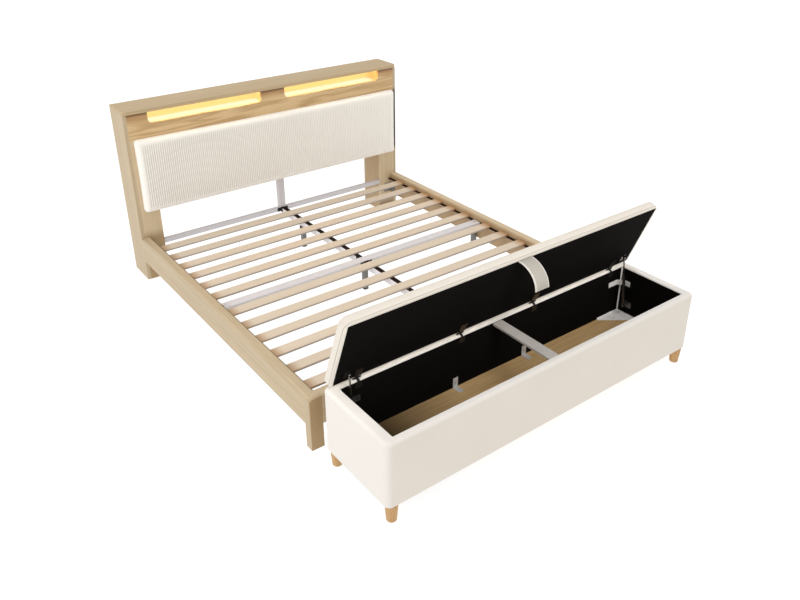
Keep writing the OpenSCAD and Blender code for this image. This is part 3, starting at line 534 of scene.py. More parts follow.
def round_edges(bm, edges, radius, segments):
    """Bevels edges to a round."""
    bmesh.ops.bevel(
        bm, geom=edges, offset=radius, offset_type="OFFSET", segments=segments, profile=0.5,
        affect="EDGES", material=-1, clamp_overlap=False,
    )
    bm.normal_update()


def within(spot, low, high):
    """Whether a point lies between two corners."""
    return all(low[k] - SLACK < spot[k] < high[k] + SLACK for k in range(3))


def edges_within(bm, low, high):
    """Edges that have both ends between two corners."""
    return [e for e in bm.edges if all(within(v.co, low, high) for v in e.verts)]


def faces_within(bm, low, high):
    """Faces that lie whole between two corners."""
    return [f for f in bm.faces if all(within(v.co, low, high) for v in f.verts)]


def at_height(low, high, z):
    """The corners of a flat box at one height."""
    return Vector((low.x, low.y, z)), Vector((high.x, high.y, z))


def upright_edges(bm, low, high, sides=(-1, 1)):
    """The upright edges at the corners of a box; sides picks the front (-1) or rear (1) ones."""
    spots = {-1: low.y, 1: high.y}
    found = []
    for x in (low.x, high.x):
        for side in sides:
            corner = Vector((x, spots[side], low.z)), Vector((x, spots[side], high.z))
            found += edges_within(bm, *corner)
    return found


def cut(bm, axis, place):
    """Cuts a mesh across an axis and keeps both halves."""
    spot, normal = Vector((0, 0, 0)), Vector((0, 0, 0))
    spot[axis], normal[axis] = place, 1
    bmesh.ops.bisect_plane(
        bm, geom=bm.verts[:] + bm.edges[:] + bm.faces[:], plane_co=spot, plane_no=normal, dist=ON_CUT
    )


def slice_up(bm, low, high, steps):
    """Cuts a mesh across X, Y and Z at even steps, so that it can be padded."""
    for axis, step in enumerate(steps):
        count = max(2, round((high[axis] - low[axis]) / step))
        for k in range(1, count):
            cut(bm, axis, low[axis] + (high[axis] - low[axis]) * k / count)


def cut_round(bm, low, high):
    """Cuts a mesh along the four sides of a box."""
    for axis in (X, Y):
        cut(bm, axis, low[axis])
        cut(bm, axis, high[axis])


def ease(value, low, high):
    """Rises smoothly from 0 at low to 1 at high."""
    t = min(1.0, max(0.0, (value - low) / (high - low)))
    return t * t * (3 - 2 * t)


def ruffle(point, size, height):
    """A small, repeatable unevenness."""
    return height * noise.noise(Vector([c / size for c in point]))


def pad_out(spot, low, high, bulge, fade=0.14):
    """How far a point of a padded box moves out of the side that it lies on."""
    ends = [min(spot.x - low.x, high.x - spot.x), min(spot.y - low.y, high.y - spot.y)]
    height = max(0.0, min(1.0, (spot.z - low.z) / (high.z - low.z)))
    push = bulge * math.sin(math.pi * height) ** 0.7
    move = Vector((0, 0, 0))
    if ends[Y] < SAME:
        move.y = push * ease(ends[X], 0.0, fade) * (-1 if spot.y < (low.y + high.y) / 2 else 1)
    if ends[X] < SAME:
        move.x = push * ease(ends[Y], 0.0, fade) * (-1 if spot.x < (low.x + high.x) / 2 else 1)
    return move


# ---- operators --------------------------------------------------------------------


class BED_OT_boards(bpy.types.Operator):
    """Oak on the headboard and frame, pale wood on the slats, plain board in the chest"""

    bl_idname = "bed.boards"
    bl_label = "Boards"

    def execute(self, context):
        finish = context.scene.board_finish
        self.headboard(finish)
        self.fascia(finish)
        self.head_legs(finish)
        self.rails(finish)
        self.foot_end(finish)
        self.slats(finish)
        self.chest_board(finish)
        ease_edges(finish.edge, EASED_BOARDS)
        return {"FINISHED"}

    def headboard(self, finish):
        """Top and side boards; the right one has a painted shadow in the gap beside the cushion."""
        dress(wood("oak_top", X, grain_tones(finish, shares=(1, 0.95, 0.86)), **FINE_OAK), "head_top")
        oak_up = wood("oak_up", Z, grain_tones(finish), **FINE_OAK)
        front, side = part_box("head_side_right")[0].y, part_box("head_side_right")[1].x
        across, inward = ("X", side - 0.06, side - 0.045), ("Y", front + 0.006, front + 0.002)
        from_low = ("Z", PAD_LOW.z - 0.005, PAD_LOW.z + 0.03)
        to_high = ("Z", PAD_HIGH.z + 0.01, PAD_HIGH.z - 0.02)
        # Painted shadow that the cushion casts on the right side panel
        shade_where(oak_up, times(finish.oak_shade, 0.12), across, inward, from_low, to_high)
        dress(oak_up, "head_side_left", "head_side_right", "leg_back_panels")

    def fascia(self, finish):
        """Warmer oak, with painted shadow towards the top board, darkest in the joint under it."""
        mat = wood("oak_fascia", X, grain_tones(finish, "warm_"), **BROAD_OAK)
        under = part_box("head_top")[0].z
        shadow, joint_shadow = ("Z", under - 0.06, under - 0.012), ("Z", under - 0.018, under - 0.003)
        # Painted shadow under the top board, darkest in the joint just under its edge
        shade_where(mat, finish.fascia_top_shadow, shadow)
        shade_where(mat, times(finish.oak_shade, 0.3), joint_shadow)
        dress(mat, "head_fascia", "fascia_posts", "slot_corners")

    def head_legs(self, finish):
        """A lighter copy of the oak as painted light, with painted shade on the left front panel below
        the rail, and painted shadow on the right one at its lower end.
        """
        inner = wood("oak_leg_inner", Z, grain_tones(finish, shares=(0.95, 0.84, 0.72)), **FINE_OAK)
        dress(inner, "leg_inner_panels")
        # A lighter copy of the oak: painted light on the front panels
        mat = wood("oak_leg_front", Z, grain_tones(finish, shares=(1.22,)), **FINE_OAK)
        to_left, to_right = ("X", 0.3, 0.2), ("X", 0.2, 0.3)
        below_rail, near_floor = ("Z", 0.34, 0.28), ("Z", 0.12, 0.05)
        # Painted shade on the left front panel below the rail, and painted shadow on the right one
        # near the floor
        shade_where(mat, finish.leg_front_shade, to_left, below_rail)
        shade_where(mat, times(finish.oak_shade, 0.6), to_right, near_floor)
        dress(mat, "leg_front_panels")

    def rails(self, finish):
        """Painted shade on the inner faces below a pale upper edge, a painted shadow line inside the
        left rail, and painted light on the lighter right rail.
        """
        inner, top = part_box("rail_right")[0].x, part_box("rail_right")[1].z
        face, below_top = ("+-X", inner + 0.0012, inner), ("Z", top - 0.003, top - 0.02)
        shadow_line = ("X", -inner - 0.007, -inner - 0.003)
        # The right rail's larger share is painted light
        for side, share in (("left", 1.0), ("right", 1.16)):
            mat = wood("oak_rail_" + side, Y, grain_tones(finish, shares=(share,)), **FINE_OAK)
            # Painted shade on the rails' inner faces, and a painted shadow line inside the left rail
            shade_where(mat, finish.oak_shade, face, below_top)
            if side == "left":
                shade_where(mat, times(finish.oak_shade, 0.4), shadow_line)
            dress(mat, "rail_" + side)

    def foot_end(self, finish):
        """Foot rail, and foot legs with painted shade on their front faces; the hidden boards share
        the oak.
        """
        oak_across = wood("oak_across", X, grain_tones(finish), **FINE_OAK)
        dress(oak_across, "foot_rail", "head_back", "head_bottom", "cushion_board")
        oak_leg = wood("oak_leg", Z, grain_tones(finish), **FINE_OAK)
        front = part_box("foot_leg_left")[0].y
        face = ("Y", front + 0.0015, front + 0.0005)
        # Painted shade on the foot legs' front faces
        shade_where(oak_leg, finish.leg_front_shade, face)
        dress(oak_leg, "foot_leg_left", "foot_leg_right")

    def slats(self, finish):
        """Pale slats, with painted shade on their edges and warmer painted shade near the rails."""
        mat = wood("slat_wood", X, grain_tones(finish, "slat_"), **SLAT_GRAIN)
        end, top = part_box("rail_right")[0].x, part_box("slats_foot")[1].z
        edges, ends = ("Z", top - 0.003, top - 0.006), ("+-X", end - 0.075, end - 0.01)
        # Painted shade on the slats' edges below their tops, and on their ends near the rails
        shade_where(mat, finish.slat_edge_shade, edges)
        shade_where(mat, finish.slat_end_shade, ends)
        dress(mat, "slats_head", "slats_foot")

    def chest_board(self, finish):
        """The chest's board, with painted shadow towards its left end."""
        mat = wood("chest_board", X, grain_tones(finish, "board_"), **PLAIN_BOARD)
        to_left = ("X", -0.28, -0.74)
        # Painted shadow towards the board's left end
        shade_where(mat, times(finish.board_dark, 0.2), to_left)
        dress(mat, "chest_floor", "lid_board")


class BED_OT_feet(bpy.types.Operator):
    """The chest's four tapered feet, a little eased at the tips"""

    bl_idname = "bed.feet"
    bl_label = "Chest feet"

    def execute(self, context):
        shape = context.scene.foot_shape
        low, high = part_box("chest_feet")
        tip_round = 0.004
        bm = bmesh.new()
        for x in (CHEST_LOW.x + shape.from_side, CHEST_HIGH.x - shape.from_side):
            for y in (CHEST_LOW.y + shape.from_front, CHEST_HIGH.y - shape.from_front):
                place = Matrix.Translation((x, y, (low.z + high.z) / 2))
                made = bmesh.ops.create_cone(
                    bm, cap_ends=True, segments=32, radius1=shape.tip / 2, radius2=shape.top / 2,
                    depth=high.z - low.z, matrix=place,
                )
                rim = [
                    e for e in bm.edges
                    if all(v in made["verts"] and abs(v.co.z - low.z) < SAME for v in e.verts)
                ]
                round_edges(bm, rim, tip_round, segments=3)
        grain = wood("foot_grain", Z, grain_tones(shape), **FOOT_GRAIN)
        feet = finish_mesh(bm, "tapered_feet", grain, smooth=40)
        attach(feet, "bed")
        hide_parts("chest_feet")
        return {"FINISHED"}


class BED_OT_metal(bpy.types.Operator):
    """Steel bars, plates, hinges and struts, and the black plastic pieces"""

    bl_idname = "bed.metal"
    bl_label = "Metal and plastic"

    def execute(self, context):
        finish = context.scene.metal_finish
        white, pale, dark = finish.white, finish.pale, finish.dark
        coats = (
            (metal("white_coat", white), "centre_post", "mid_bar"),
            # A lighter copy of the white coat on the beams: painted light
            (metal("beam_coat", times(white, 1.28)), "beam_head", "beam_foot"),
            # A darker copy of the white coat on the head bar: painted shade
            (metal("head_bar_coat", times(white, 0.92)), "head_bar"),
            (metal("grey_steel", finish.grey, rough=0.32), "support_legs", "rail_brackets"),
            (metal("black_steel", finish.black, rough=0.6), "beam_brackets"),
            (metal("bright_steel", finish.bright, metallic=0.8, rough=0.25), "frame_bolts"),
            (metal("bar_steel", finish.bar, metallic=0.2, rough=0.4), "chest_bar"),
            # A darker copy of the pale zinc on the floor brackets: painted shade
            (metal("angle_zinc", times(pale, 0.6), metallic=0.1, rough=0.3), "floor_brackets"),
            (metal("strip_steel", pale, rough=0.25), "corner_strips"),
            (
                metal("bracket_steel", finish.bracket, metallic=0.6, rough=0.25),
                "strut_wall_brackets",
            ),
            (
                metal("dark_coat", dark, metallic=0.4, rough=0.22, coat=0.2),
                "hinge_frame_leaves", "hinge_lid_leaves", "strut_lid_brackets",
            ),
            (
                metal("tube_lacquer", dark, rough=0.2, coat=1.0),
                "strut_tube_left", "strut_tube_right",
            ),
            (
                metal("rod_chrome", finish.rod, metallic=1.0, rough=0.2),
                "strut_rod_left", "strut_rod_right", "hinge_pins",
            ),
            (plastic("strap_plastic", finish.straps, rough=0.8), "slat_straps", "leg_glides"),
        )
        for coat, *nodes in coats:
            dress(coat, *nodes)
        self.shaded_coats(finish)
        ease_edges(finish.edge, EASED_STEEL)
        return {"FINISHED"}

    def shaded_coats(self, finish):
        """Painted brown shade on the right ledges, and painted dark shade on the chest's left corner
        plates.
        """
        to_right, to_left = ("X", 0.5, 0.6), ("X", -0.3, -0.5)
        ledge = metal("ledge_coat", finish.white)
        # Painted shade on the ledges at the bed's right side
        shade_where(ledge, finish.ledge_shade, to_right)
        dress(ledge, "side_ledges")
        zinc = metal("zinc_plate", finish.pale, rough=0.3)
        # Painted shade on the plates and braces in the chest's left corner
        shade_where(zinc, finish.pale_shade, to_left)
        dress(zinc, "corner_plates", "corner_braces")


class BED_OT_light_recess(bpy.types.Operator):
    """The two lit recesses above the cushion"""

    bl_idname = "bed.light_recess"
    bl_label = "Light recesses"

    def execute(self, context):
        finish = context.scene.light_finish
        strip = plastic("light_strip", finish.strip, 0.3, glow=finish.glow, power=finish.power)
        dress(strip, "led_strips")
        dress(self.lit_tray(finish), "light_tray_left", "light_tray_right")
        return {"FINISHED"}

    def lit_tray(self, finish):
        """Painted light that glows: pale on the floor, yellow up the rear wall, and orange towards the
        right end.
        """
        low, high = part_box("light_tray_right")
        wall_height, end_length, haze_share = 0.05, 0.1, 0.05
        mat, shader = new_material("light_tray")
        spot = split_coords(mat)
        haze = speckle(mat, 14.0)
        rise = maths(mat, "DIVIDE", maths(mat, "SUBTRACT", spot["Z"], low.z), wall_height)
        rise = maths(mat, "MULTIPLY_ADD", haze, haze_share, rise)
        upright = ramp(mat, rise, (0.16, finish.floor), (0.26, finish.wall))
        from_end = maths(mat, "DIVIDE", maths(mat, "SUBTRACT", high.x, spot["X"]), end_length)
        inward = ramp(mat, from_end, (0.05, (0, 0, 0)), (0.6, (1, 1, 1)))
        lit = blend(mat, inward, (*finish.ends, 1), upright)
        # Painted light as emission on the tray
        feed(mat, lit, shader.inputs["Emission Color"])
        shader.inputs["Emission Strength"].default_value = 0.9
        shader.inputs["Base Color"].default_value = (*finish.tray, 1)
        shader.inputs["Roughness"].default_value = 0.7
        bump(mat, shader, haze, strength=0.05, distance=0.0005)
        return mat


class BED_OT_cushion(bpy.types.Operator):
    """The headboard's padded cushion with sewn upright ribs"""

    bl_idname = "bed.cushion"
    bl_label = "Headboard cushion"

    def execute(self, context):
        shape = context.scene.cushion_shape
        bm = loft(self.padded_rows(shape), ring=False)
        close_ends(bm)
        pad = finish_mesh(bm, "ribbed_cushion", self.fabric(shape), smooth=75)
        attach(pad, "bed")
        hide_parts("head_cushion")
        return {"FINISHED"}

    def padded_rows(self, shape):
        """Rows of points from the back edge round the sides and over the ribbed front."""
        width, depth, height = PAD_HIGH - PAD_LOW
        edge = self.edge_steps(shape.round_edge, depth)
        insets = [inset for inset, _ in edge]
        plain_sides, points_per_rib, rows, side_steps = 0.06, 8, 30, 3
        ribs = round((width - plain_sides) / shape.rib)
        across = self.spread(insets, width, ribs * points_per_rib)
        up = self.spread(insets, height, rows)
        loops = []
        for j, z in enumerate(up):
            loop = []
            for i, x in enumerate(across):
                step = min(i, len(across) - 1 - i, j, len(up) - 1 - j)
                out = edge[step][1] if step < len(edge) else depth
                px, pz = self.round_corner(x, z, width, height, shape.corner)
                px, pz = self.draw_in(px, pz, width, height)
                out -= self.groove(px, pz, width, height, shape)
                if step >= side_steps:
                    out -= self.below_crown(px / width, pz / height)
                spot = Vector((PAD_LOW.x + px, PAD_HIGH.y - out, PAD_LOW.z + pz))
                if step >= side_steps:
                    spot.y += ruffle(spot, size=0.09, height=0.0009)
                loop.append(spot)
            loops.append(loop)
        return loops

    def edge_steps(self, radius, depth):
        """Insets and depths from the back edge, up the drawn-in side, to the flat of the front."""
        side = depth - radius
        steps = [(0.004, 0.0), (0.0015, side * 0.35), (0.0, side * 0.75)]
        bends = 6
        for k in range(bends + 1):
            turn = math.radians(90 * k / bends)
            steps.append((radius * (1 - math.cos(turn)), side + radius * math.sin(turn)))
        return steps

    def spread(self, insets, size, count):
        """Places across a size: the insets at both ends, and an even count between them."""
        start = insets[-1]
        between = [start + (size - 2 * start) * k / count for k in range(1, count)]
        return insets + between + [size - inset for inset in reversed(insets)]

    def round_corner(self, x, z, width, height, radius):
        """Turns the square corner of the plan into a round one."""
        u, v = min(x, width - x), min(z, height - z)
        if u >= radius or v >= radius:
            return x, z
        away = Vector((radius - u, radius - v))
        long = away.length
        if long:
            away *= max(away.x, away.y) / long
        u, v = radius - away.x, radius - away.y
        return (u if x < width / 2 else width - u), (v if z < height / 2 else height - v)

    def draw_in(self, x, z, width, height):
        """Pulls the four sides in between the corners."""
        sag = 0.0025
        x += sag * 4 * (z / height) * (1 - z / height) * (1 - 2 * x / width)
        z += sag * 4 * (x / width) * (1 - x / width) * (1 - 2 * z / height)
        return x, z

    def groove(self, x, z, width, height, shape):
        """Depth of the seams between the ribs, which fade out towards the edges."""
        at_sides, at_bottom, at_top, sharpness = (0.018, 0.042), (0.004, 0.02), (0.022, 0.06), 0.9
        fade = ease(min(x, width - x), *at_sides)
        fade *= ease(z, *at_bottom) * ease(height - z, *at_top)
        turn = (x - width / 2) / shape.rib * math.pi
        rib = 1 - abs(math.sin(turn)) ** sharpness
        return shape.groove * rib * fade

    def below_crown(self, across, up):
        """How far the front lies below the crown in its middle."""
        crown_height = 0.004
        crown = math.sin(math.pi * up) ** 0.5 * math.sin(math.pi * across) ** 0.3
        return crown_height * (1 - crown)

    def fabric(self, shape):
        """Pale weave, with painted shade in the seams on the flat of the front, which grows weaker to
        the right.
        """
        mat = cloth("ribbed_fabric", shape.tone, thread=0.0016, sheen=0.3, depth=0.22, shade=0.93)
        start, full = shape.round_edge * 0.8, shape.round_edge * 1.5
        spans = [
            (axis, place + side * start, place + side * full)
            for axis, low, high in (("X", PAD_LOW.x, PAD_HIGH.x), ("Z", PAD_LOW.z, PAD_HIGH.z))
            for place, side in ((low, 1), (high, -1))
        ]
        to_left = ("X", PAD_HIGH.x + 0.6, PAD_LOW.x + 0.2)
        # Painted shade in the grooves between the ribs
        groove_shade_tone = times(shape.tone, 0.60, 0.56, 0.53)
        middle = (PAD_LOW.x + PAD_HIGH.x) / 2
        paint_groove_shade(mat, groove_shade_tone, middle, shape.rib, *spans, to_left)
        return mat


class BED_OT_chest(bpy.types.Operator):
    """The chest's upholstered walls in one cover"""

    bl_idname = "bed.chest"
    bl_label = "Chest upholstery"

    def execute(self, context):
        shape = context.scene.chest_shape
        bm = self.walls(shape)
        self.pad(bm, shape.bulge)
        walls = finish_mesh(bm, "chest_cover", self.fabric(shape.tone), smooth=60)
        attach(walls, "bed")
        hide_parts("chest_front", "chest_rear", "chest_left", "chest_right")
        return {"FINISHED"}

    def walls(self, shape):
        """A rounded box with the bay cut through it, and an eased edge round the bay."""
        low, high = CHEST_LOW, CHEST_HIGH
        sharp = math.radians(60)
        bay_low = Vector((LINING_LOW.x, LINING_LOW.y, low.z))
        bay_high = Vector((LINING_HIGH.x, LINING_HIGH.y, high.z))
        bm = bmesh.new()
        block(bm, low, high)
        round_edges(bm, upright_edges(bm, low, high), shape.corner, segments=8)
        round_edges(bm, edges_within(bm, *at_height(low, high, high.z)), shape.edge, segments=6)
        round_edges(bm, edges_within(bm, *at_height(low, high, low.z)), shape.foot_edge, segments=3)
        slice_up(bm, low, high, steps=(0.045, 0.045, 0.028))
        cut_round(bm, bay_low, bay_high)
        for z in (low.z, high.z):
            bay = faces_within(bm, *at_height(bay_low, bay_high, z))
            bmesh.ops.delete(bm, geom=bay, context="FACES")
        bmesh.ops.bridge_loops(bm, edges=[e for e in bm.edges if e.is_boundary])
        rim = edges_within(bm, *at_height(bay_low, bay_high, high.z))
        rim = [e for e in rim if e.calc_face_angle(0) > sharp]
        round_edges(bm, rim, shape.rim_inside, segments=4)
        return bm

    def pad(self, bm, bulge):
        """Bulges the sides, and lets the rim dip a little but never rise against the lid."""
        low, high = CHEST_LOW, CHEST_HIGH
        for v in bm.verts:
            move = pad_out(v.co, low, high, bulge)
            if move.length > 0:
                lift = ruffle(v.co, size=0.16, height=0.0009)
                move += Vector((0, lift, 0)) if abs(move.y) > abs(move.x) else Vector((lift, 0, 0))
            elif v.co.z > high.z - SAME:
                move.z = -abs(ruffle(v.co, size=0.12, height=0.0012))
            v.co += move

    def fabric(self, tone):
        """Painted cool light on the left side, and a painted highlight at the rim."""
        mat = cloth("chest_upholstery", tone, **UPHOLSTERY)
        cool_light = times(tone, 1.03, 1.06, 1.12)
        left = ("X", CHEST_LOW.x + 0.03, CHEST_LOW.x + 0.004)
        rim = ("Z", CHEST_HIGH.z - 0.018, CHEST_HIGH.z - 0.002)
        # Painted light: cool light on the left side, and a highlight on the rim
        shade_where(mat, cool_light, left)
        shade_where(mat, times(cool_light, 1.06), rim)
        return mat


class BED_OT_lining(bpy.types.Operator):
    """The black lining of the bay and the dust cover under the lid, as stretched cloth"""

    bl_idname = "bed.lining"
    bl_label = "Lining and dust cover"

    def execute(self, context):
        shape = context.scene.chest_shape
        black = cloth(
            "black_lining", shape.lining_tone, thread=0.002, sheen=0.0, shade=0.7, shine=0.03
        )
        self.bay_lining(black, shape.lining)
        self.dust_cover(black, shape.lining)
        return {"FINISHED"}

    def sheet(self, bm, name, mat, body, slot, node, flat):
        """Makes a stretched sheet into an object on a body, in place of its CAD node."""
        piece = finish_mesh(bm, name, mat, smooth=30)
        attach(piece, body)
        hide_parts(node)

    def bay_lining(self, mat, thick):
        """One strip round the four walls, which stands a little off them between the corners."""
        off_wall, corner, slack, step = 0.0002, 0.004, 0.0008, 0.06
        inward = Vector((off_wall, off_wall, 0))
        low, high = LINING_LOW + inward, LINING_HIGH - inward
        bm = bmesh.new()
        block(bm, low, high)
        ends = [f for z in (low.z, high.z) for f in faces_within(bm, *at_height(low, high, z))]
        bmesh.ops.delete(bm, geom=ends, context="FACES_ONLY")
        round_edges(bm, upright_edges(bm, low, high), corner, segments=3)
        slice_up(bm, low, high, steps=(step, step, step))
        bmesh.ops.recalc_face_normals(bm, faces=bm.faces)
        for v in bm.verts:
            move = pad_out(v.co, low, high, slack)
            v.co -= move * (1 + ruffle(v.co, size=0.1, height=0.5))
        bmesh.ops.solidify(bm, geom=bm.faces[:], thickness=thick)
        size = high - low
        self.sheet(
            bm, "bay_lining", mat, "bed", "lining_fabric", "chest_lining",
            (2 * (size.x + size.y), size.z),
        )

    def dust_cover(self, mat, thick):
        """A flat sheet, made with the lid shut, whose ruffles never sink below the panel."""
        low, high = PANEL_LOW, PANEL_HIGH
        size = high - low
        bm = bmesh.new()
        bmesh.ops.create_grid(bm, x_segments=48, y_segments=12, size=0.5)
        bmesh.ops.scale(bm, vec=(size.x, size.y, 1), verts=bm.verts)
        bmesh.ops.translate(bm, vec=(low + high) / 2, verts=bm.verts)
        for v in bm.verts:
            inside = min(v.co.x - low.x, high.x - v.co.x, v.co.y - low.y, high.y - v.co.y)
            rise = ease(inside, 0, 0.03)
            v.co.z = low.z + thick + abs(ruffle(v.co, size=0.11, height=0.0012)) * rise
        bmesh.ops.solidify(bm, geom=bm.faces[:], thickness=thick)
        bmesh.ops.transform(bm, matrix=LIFT_LID, verts=bm.verts)
        self.sheet(bm, "lid_dust_cover", mat, "lid", "lining_fabric", "lid_panel", (size.x, size.y))


class BED_OT_lid(bpy.types.Operator):
    """The lid's padded cover, made shut and then turned open"""

    bl_idname = "bed.lid"
    bl_label = "Lid cover"

    def execute(self, context):
        shape = context.scene.lid_shape
        bm = self.cover(shape)
        bmesh.ops.transform(bm, matrix=LIFT_LID, verts=bm.verts)
        fabric = self.fabric(context.scene.chest_shape.tone)
        cover = finish_mesh(bm, "lid_padding", fabric, smooth=60)
        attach(cover, "lid")
        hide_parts("lid_cover")
        return {"FINISHED"}

    def cover(self, shape):
        """A rounded box with a recess for the board below, and a padded, crowned top."""
        low, high = LID_LOW, LID_HIGH
        recess = 0.018
        bm = bmesh.new()
        block(bm, low, high)
        round_edges(bm, upright_edges(bm, low, high, (-1,)), shape.corner, segments=8)
        top = edges_within(bm, *at_height(low, high, high.z))
        round_edges(bm, top + upright_edges(bm, low, high, (1,)), shape.edge, segments=6)
        round_edges(bm, edges_within(bm, *at_height(low, high, low.z)), shape.low_edge, segments=4)
        slice_up(bm, low, high, steps=(0.05, 0.035, 0.011))
        recess_low = Vector((PANEL_LOW.x, PANEL_LOW.y, low.z))
        recess_high = Vector((PANEL_HIGH.x, PANEL_HIGH.y, low.z + recess))
        cut_round(bm, recess_low, recess_high)
        under = faces_within(bm, *at_height(recess_low, recess_high, low.z))
        pushed = bmesh.ops.extrude_face_region(bm, geom=under)["geom"]
        bmesh.ops.delete(bm, geom=under, context="FACES")
        bmesh.ops.translate(
            bm, vec=(0, 0, recess), verts=[g for g in pushed if isinstance(g, bmesh.types.BMVert)]
        )
        seam = bm.verts.layers.float.new("seam")
        for v in bm.verts:
            v[seam] = 1.0 if abs(v.co.z - low.z - shape.low_edge) < SLACK else 0.0
            if not within(v.co, recess_low, recess_high):
                v.co += self.padding(v.co, low, high, shape)
        return bm

    def padding(self, spot, low, high, shape):
        """How far a point of the cover moves out of its side, or up from the top."""
        move = pad_out(spot, low, high, shape.bulge, fade=0.2)
        if spot.z > high.z - SLACK:
            from_ends = min(spot.x - low.x, high.x - spot.x)
            from_sides = min(spot.y - low.y, high.y - spot.y)
            move.z += shape.crown * ease(from_ends, 0, 0.3) * ease(from_sides, 0, 0.16)
            move.z += ruffle(spot, size=0.14, height=0.0009)
        return move

    def fabric(self, tone):
        """Painted shade along the free edge, and darker in the seam above the lower edge."""
        mat = cloth("lid_upholstery", tone, **UPHOLSTERY)
        high = (LIFT_LID @ Vector((0, LID_LOW.y, LID_LOW.z))).z
        free_edge_shade = ("Z", high - 0.03, high - 0.004)
        # Painted shade along the lid's free edge
        shade_where(mat, times(tone, 0.84), free_edge_shade)
        shade_layer(mat, times(tone, 0.5), "seam")
        return mat


class BED_OT_strap(bpy.types.Operator):
    """The pull strap on the lid's free edge: ribbed webbing with bound edges"""

    bl_idname = "bed.strap"
    bl_label = "Pull strap"

    rib_pitch = 0.007
    bends = 28

    def execute(self, context):
        shape = context.scene.strap_shape
        middle = (STRAP_LOW.x + STRAP_HIGH.x) / 2
        half = (STRAP_HIGH.x - STRAP_LOW.x) / 2
        profile = self.profile(shape, half)
        bm = loft([self.bent(profile, k, middle, half) for k in range(self.bends + 1)])
        close_ends(bm)
        webbing = cloth("strap_webbing", shape.tone, thread=0.0018, sheen=0.15, depth=0.3, shade=0.85)
        # Painted shade between the webbing's ribs
        paint_groove_shade(webbing, times(shape.tone, 0.55), middle, self.rib_pitch)
        strap = finish_mesh(bm, "lid_pull_strap", webbing, smooth=70)
        strap.data.materials.append(cloth("strap_binding", shape.edge_tone, thread=0.0012, sheen=0.2))
        for face in strap.data.polygons:
            if half - abs(face.center.x - middle) < shape.binding:
                face.material_index = 1
        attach(strap, "lid")
        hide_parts("pull_strap")
        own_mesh(strap)
        return {"FINISHED"}

    def profile(self, shape, half):
        """The webbing's outline across: ribs between two thicker bound edges."""
        half_thick = shape.thick / 2
        columns, bound_extra, rib_height = 44, 0.0006, 0.0007
        upper = []
        for k in range(columns + 1):
            x = -half + 2 * half * k / columns
            ribbed = ease(half - abs(x), shape.binding - 0.001, shape.binding)
            rib = abs(math.sin(x / self.rib_pitch * math.pi)) * rib_height * ribbed
            past_edge = max(0.0, (abs(x) - half + half_thick) / half_thick)
            edge = math.sqrt(max(0.0, 1 - past_edge ** 2))
            body = half_thick + bound_extra - bound_extra * ribbed + rib - rib_height * ribbed
            upper.append((x, edge * body))
        return upper + [(x, -y) for x, y in reversed(upper)]

    def bent(self, profile, k, middle, half):
        """The outline at one bend of the quarter turn from the lid's face down its edge."""
        inset, narrowing, curl = 0.0025, 0.03, 0.0015
        root = Vector((0, STRAP_HIGH.y, STRAP_HIGH.z - inset))
        out, down = STRAP_HIGH.y - STRAP_LOW.y - inset, STRAP_HIGH.z - STRAP_LOW.z
        turn = math.radians(90 * k / self.bends)
        spot = root + Vector((0, -out * math.sin(turn), down * (math.cos(turn) - 1)))
        along = Vector((0, -out * math.cos(turn), -down * math.sin(turn))).normalized()
        normal = Vector((0, -along.z, along.y))
        if normal.z < 0:
            normal = -normal
        belly = math.sin(math.pi * k / self.bends)
        return [
            spot + Vector((middle + x * (1 - narrowing * belly), 0, 0))
            + normal * (y + curl * belly * math.cos(math.pi * x / half))
            for x, y in profile
        ]


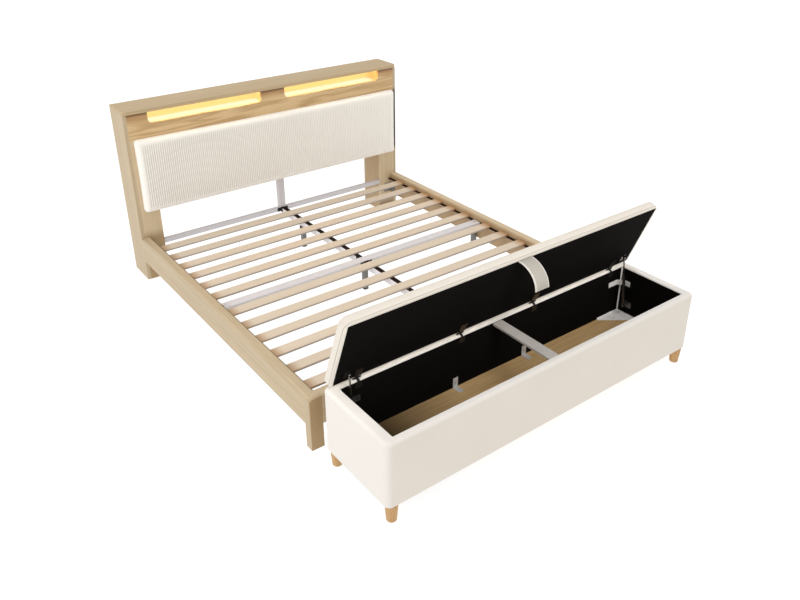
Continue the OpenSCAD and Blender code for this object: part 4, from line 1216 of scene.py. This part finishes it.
class BED_OT_stage(bpy.types.Operator):
    """Floor, studio lights and camera"""

    bl_idname = "bed.stage"
    bl_label = "Stage"

    def execute(self, context):
        setup = context.scene.stage_setup
        self.floor(setup)
        self.surroundings(context.scene, setup.white)
        high_white, warm_white, bay_white = (1.0, 0.99, 0.97), (1.0, 0.985, 0.96), (1.0, 0.98, 0.94)
        self.light("key", (-6.0, 0.2, 3.8), (0, -0.2, 0.3), (3, 3), 105, warm_white)
        self.light("top", (0, -0.6, 6.0), (0, -0.6, 0.3), (3, 3), 55, high_white)
        self.light("front", (-1.6, -5.4, 4.6), (0, -1.0, 0.4), (3, 1), 25, warm_white)
        self.light("bay", (0, -1.75, 1.35), (0, -1.0, 0.43), (2.2, 0.1), 1.5, bay_white, 36)
        self.camera(context.scene, setup)
        context.scene.view_settings.view_transform = "Standard"
        return {"FINISHED"}

    def floor(self, setup):
        """A white floor that glows, so that it runs into the background."""
        bm = bmesh.new()
        bmesh.ops.create_grid(bm, x_segments=8, y_segments=8, size=40)
        mat, shader = new_material("studio_floor")
        mottle = speckle(mat, 0.4, 1.0)
        tones = ramp(mat, mottle, (0.3, times(setup.floor, 0.995)), (0.7, setup.floor))
        feed(mat, tones, shader.inputs["Base Color"])
        shader.inputs["Emission Color"].default_value = (1, 1, 1, 1)
        shader.inputs["Emission Strength"].default_value = setup.white
        shader.inputs["Roughness"].default_value = 0.9
        finish_mesh(bm, "studio_floor", mat)

    def surroundings(self, scene, strength):
        """An even white background, which lights the piece from all round."""
        world = bpy.data.worlds.new("studio")
        world.use_nodes = True
        sky = world.node_tree.nodes["Background"]
        sky.inputs["Color"].default_value = (1, 1, 1, 1)
        sky.inputs["Strength"].default_value = strength
        scene.world = world

    def light(self, name, spot, aim, size, power, tone, spread=180):
        """A rectangular lamp; power is in watts and spread in degrees."""
        data = bpy.data.lights.new(name, "AREA")
        data.shape = "RECTANGLE"
        data.size, data.size_y = size
        data.energy = power
        data.color = tone
        data.spread = math.radians(spread)
        lamp = bpy.data.objects.new(name, data)
        lamp.location = spot
        lamp.rotation_euler = (Vector(aim) - Vector(spot)).to_track_quat("-Z", "Y").to_euler()
        bpy.context.scene.collection.objects.link(lamp)

    def camera(self, scene, setup):
        """The photograph's view: its axis lies off the picture's middle, so the lens is shifted."""
        data = bpy.data.cameras.new("camera")
        data.sensor_width = 36
        data.lens = setup.lens
        data.shift_x = -(AXIS_X - PHOTO_W / 2) / PHOTO_W
        data.shift_y = -(PHOTO_H / 2 - AXIS_Y) / PHOTO_W
        data.clip_end = 200
        camera = bpy.data.objects.new("camera", data)
        camera.location = setup.place
        camera.rotation_euler = (
            Matrix.Rotation(setup.azimuth, 3, "Z")
            @ Matrix.Rotation(math.pi / 2 - setup.elevation, 3, "X")
            @ Matrix.Rotation(setup.roll, 3, "Z")
        ).to_euler()
        scene.collection.objects.link(camera)
        scene.camera = camera


class BED_PT_pieces(bpy.types.Panel):
    """Lists the pieces in the order they are made, and their settings"""

    bl_label = "Bed with blanket chest"
    bl_space_type = "VIEW_3D"
    bl_region_type = "UI"
    bl_category = "Bed"

    def draw(self, context):
        for step in STEPS:
            self.layout.operator(step.bl_idname)
        for name, _ in SETTINGS:
            box = self.layout.box()
            group = getattr(context.scene, name)
            for key in group.__annotations__:
                box.prop(group, key)


SETTINGS = [
    ("board_finish", BoardFinish), ("foot_shape", FootShape), ("metal_finish", MetalFinish),
    ("light_finish", LightFinish), ("cushion_shape", CushionShape), ("chest_shape", ChestShape),
    ("lid_shape", LidShape), ("strap_shape", StrapShape), ("stage_setup", StageSetup),
]
STEPS = [
    BED_OT_boards, BED_OT_feet, BED_OT_metal, BED_OT_light_recess, BED_OT_cushion, BED_OT_chest,
    BED_OT_lining, BED_OT_lid, BED_OT_strap, BED_OT_stage,
]


def register():
    for name, group in SETTINGS:
        bpy.utils.register_class(group)
        setattr(bpy.types.Scene, name, PointerProperty(type=group))
    for step in STEPS:
        bpy.utils.register_class(step)
    bpy.utils.register_class(BED_PT_pieces)


def unregister():
    bpy.utils.unregister_class(BED_PT_pieces)
    for step in reversed(STEPS):
        bpy.utils.unregister_class(step)
    for name, group in reversed(SETTINGS):
        delattr(bpy.types.Scene, name)
        bpy.utils.unregister_class(group)


def main():
    register()
    bpy.ops.bed.boards()
    bpy.ops.bed.feet()
    bpy.ops.bed.metal()
    bpy.ops.bed.light_recess()
    bpy.ops.bed.cushion()
    bpy.ops.bed.chest()
    bpy.ops.bed.lining()
    bpy.ops.bed.lid()
    bpy.ops.bed.strap()
    bpy.ops.bed.stage()
    bpy.context.view_layer.update()


if __name__ == "__main__":
    main()
